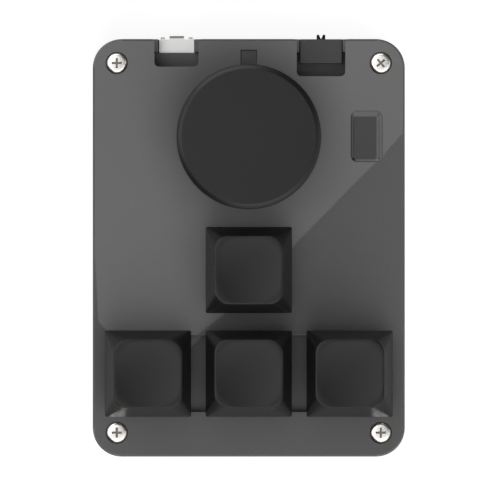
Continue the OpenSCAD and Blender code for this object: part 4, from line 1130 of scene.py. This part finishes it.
class KEYPAD_OT_stage(bpy.types.Operator):
    """Sets the pale floor, the pale room, the soft panels and the camera"""
    bl_idname = "keypad.stage"
    bl_label = "Stage"

    def execute(self, context):
        s = context.scene.keypad_stage
        cover_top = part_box("top_cover")[1].z
        context.scene.view_settings.view_transform = "Standard"
        self.floor(s)
        self.room(context, s)
        eye = Vector((0.00025, -0.00045))
        self.overhead(s, eye, cover_top)
        self.panel("front panel", Vector((0.3, -1.25, 1.85)), 2.2, 2.2, s.front_glow, True)
        self.panel("left panel", Vector((-1.25, 0.15, 1.85)), 1.5, 2.2, s.left_glow)
        self.panel("rear panel", Vector((-0.55, 1.45, 1.0)), 1.6, 1.2, s.rear_glow)
        camera = bpy.data.cameras.new("camera")
        camera.lens, camera.sensor_width, camera.clip_start, camera.clip_end = s.lens, 36.0, 0.1, 40.0
        stand = put("camera", camera)
        stand.location = (*eye, cover_top + s.distance)
        context.scene.camera = stand
        return {"FINISHED"}

    def overhead(self, s, eye, cover_top):
        """The panel overhead, placed so that its corner is reflected in one point of the cover"""
        reflected = Vector((-0.0194, -0.028))
        bounce = s.panel_height / s.distance
        corner = (reflected * (1.0 + bounce) - eye * bounce).to_3d()
        corner.z = cover_top + s.panel_height
        short, long = s.panel_short / sqrt(8.0), s.panel_long / sqrt(8.0)
        place = corner + Vector((short - long, short + long, 0.0))
        panel = self.panel("overhead panel", place, s.panel_short, s.panel_long, s.panel_glow)
        panel.rotation_euler = (0.0, 0.0, radians(45.0))

    def floor(self, s):
        f = Finish("floor paint", Specular_IOR_Level=0.1, Emission_Color=WHITE)
        seen = f.nodes.new("ShaderNodeLightPath").outputs["Is Camera Ray"]
        f.links.new(f.times(seen, s.floor_glow), f.shader.inputs["Emission Strength"])
        f.paint(f.mix(f.patches(3.0), (0.41, 0.41, 0.41, 1.0), (0.43, 0.43, 0.43, 1.0)))
        f.roughen(f.patches(40.0, 3.0, 0.75, 0.85))
        bm = bmesh.new()
        bmesh.ops.create_grid(bm, x_segments=4, y_segments=4, size=8.0)
        mesh = fixed(bm, "floor")
        mesh.materials.append(f.material)
        floor = put("floor", mesh)

    def room(self, context, s):
        """A pale room: plain and bright where the camera looks, dimmer where it lights the pieces"""
        world = bpy.data.worlds.new("room")
        world.use_nodes = True
        w = Nodes(world.node_tree)
        w.nodes.clear()
        # Dim towards the north-east and the south-west, and dimmer overhead than at the sides
        soft = {"interpolation_type": "SMOOTHSTEP"}
        place = w.nodes.new("ShaderNodeTexCoord").outputs["Generated"]
        x, y, z = w.add("ShaderNodeSeparateXYZ", {0: place}).outputs
        away = w.plus(w.plus(w.times(x, x), w.times(y, y)), 0.004)
        corner = w.maths("DIVIDE", w.times(x, y), away)
        level = w.times(w.span(corner, 0.1, 0.42, 1.1, 0.08, **soft), w.span(z, 0.35, 0.8, 2.2, 0.5, **soft))
        strength = w.times(level, s.room_glow)
        lit = w.add("ShaderNodeBackground", {"Color": WHITE, "Strength": strength}).outputs[0]
        seen = w.add("ShaderNodeBackground", {"Color": WHITE}).outputs[0]
        camera_ray = w.nodes.new("ShaderNodeLightPath").outputs["Is Camera Ray"]
        mixed = w.add("ShaderNodeMixShader", {0: camera_ray, 1: lit, 2: seen}).outputs[0]
        w.add("ShaderNodeOutputWorld", {"Surface": mixed})
        context.scene.world = world

    def panel(self, name, place, width, height, brightness, diffuse=False):
        """A soft rectangular panel that faces the keypad; without diffuse it only shows in sheens"""
        light = bpy.data.lights.new(name, "AREA")
        light.shape, light.size, light.size_y = "RECTANGLE", width, height
        light.energy = brightness * pi * width * height
        item = put(name, light)
        item.location = place
        item.rotation_euler = (-place).to_track_quat("-Z", "Y").to_euler()
        item.visible_camera, item.visible_diffuse = False, diffuse
        return item


SETTINGS = (("keypad_case", KeypadCaseSettings), ("keypad_key", KeypadKeySettings),
            ("keypad_dial", KeypadDialSettings), ("keypad_metal", KeypadMetalSettings),
            ("keypad_stage", KeypadStageSettings))
OPERATORS = (KEYPAD_OT_case, KEYPAD_OT_cover, KEYPAD_OT_feet, KEYPAD_OT_fasteners, KEYPAD_OT_keycaps,
             KEYPAD_OT_switches, KEYPAD_OT_dial, KEYPAD_OT_encoder, KEYPAD_OT_connector,
             KEYPAD_OT_power_switch, KEYPAD_OT_mode_button, KEYPAD_OT_light, KEYPAD_OT_board,
             KEYPAD_OT_battery, KEYPAD_OT_stage)


class KEYPAD_PT_panel(bpy.types.Panel):
    """Lists the steps that model and finish the keypad"""
    bl_idname = "KEYPAD_PT_panel"
    bl_label = "Keypad"
    bl_space_type = "VIEW_3D"
    bl_region_type = "UI"
    bl_category = "Keypad"

    def draw(self, context):
        for name, kind in SETTINGS:
            box = self.layout.box()
            for key in kind.bl_rna.properties.keys():
                if key not in ("rna_type", "name"):
                    box.prop(getattr(context.scene, name), key)
        for step in OPERATORS:
            self.layout.operator(step.bl_idname)


def register():
    for key, group in SETTINGS:
        bpy.utils.register_class(group)
        setattr(bpy.types.Scene, key, PointerProperty(type=group))
    for item in OPERATORS + (KEYPAD_PT_panel,):
        bpy.utils.register_class(item)


def unregister():
    for item in reversed(OPERATORS + (KEYPAD_PT_panel,)):
        bpy.utils.unregister_class(item)
    for key, group in reversed(SETTINGS):
        delattr(bpy.types.Scene, key)
        bpy.utils.unregister_class(group)


def main():
    register()
    for step in OPERATORS:
        group, name = step.bl_idname.split(".")
        getattr(getattr(bpy.ops, group), name)()


if __name__ == "__main__":
    main()
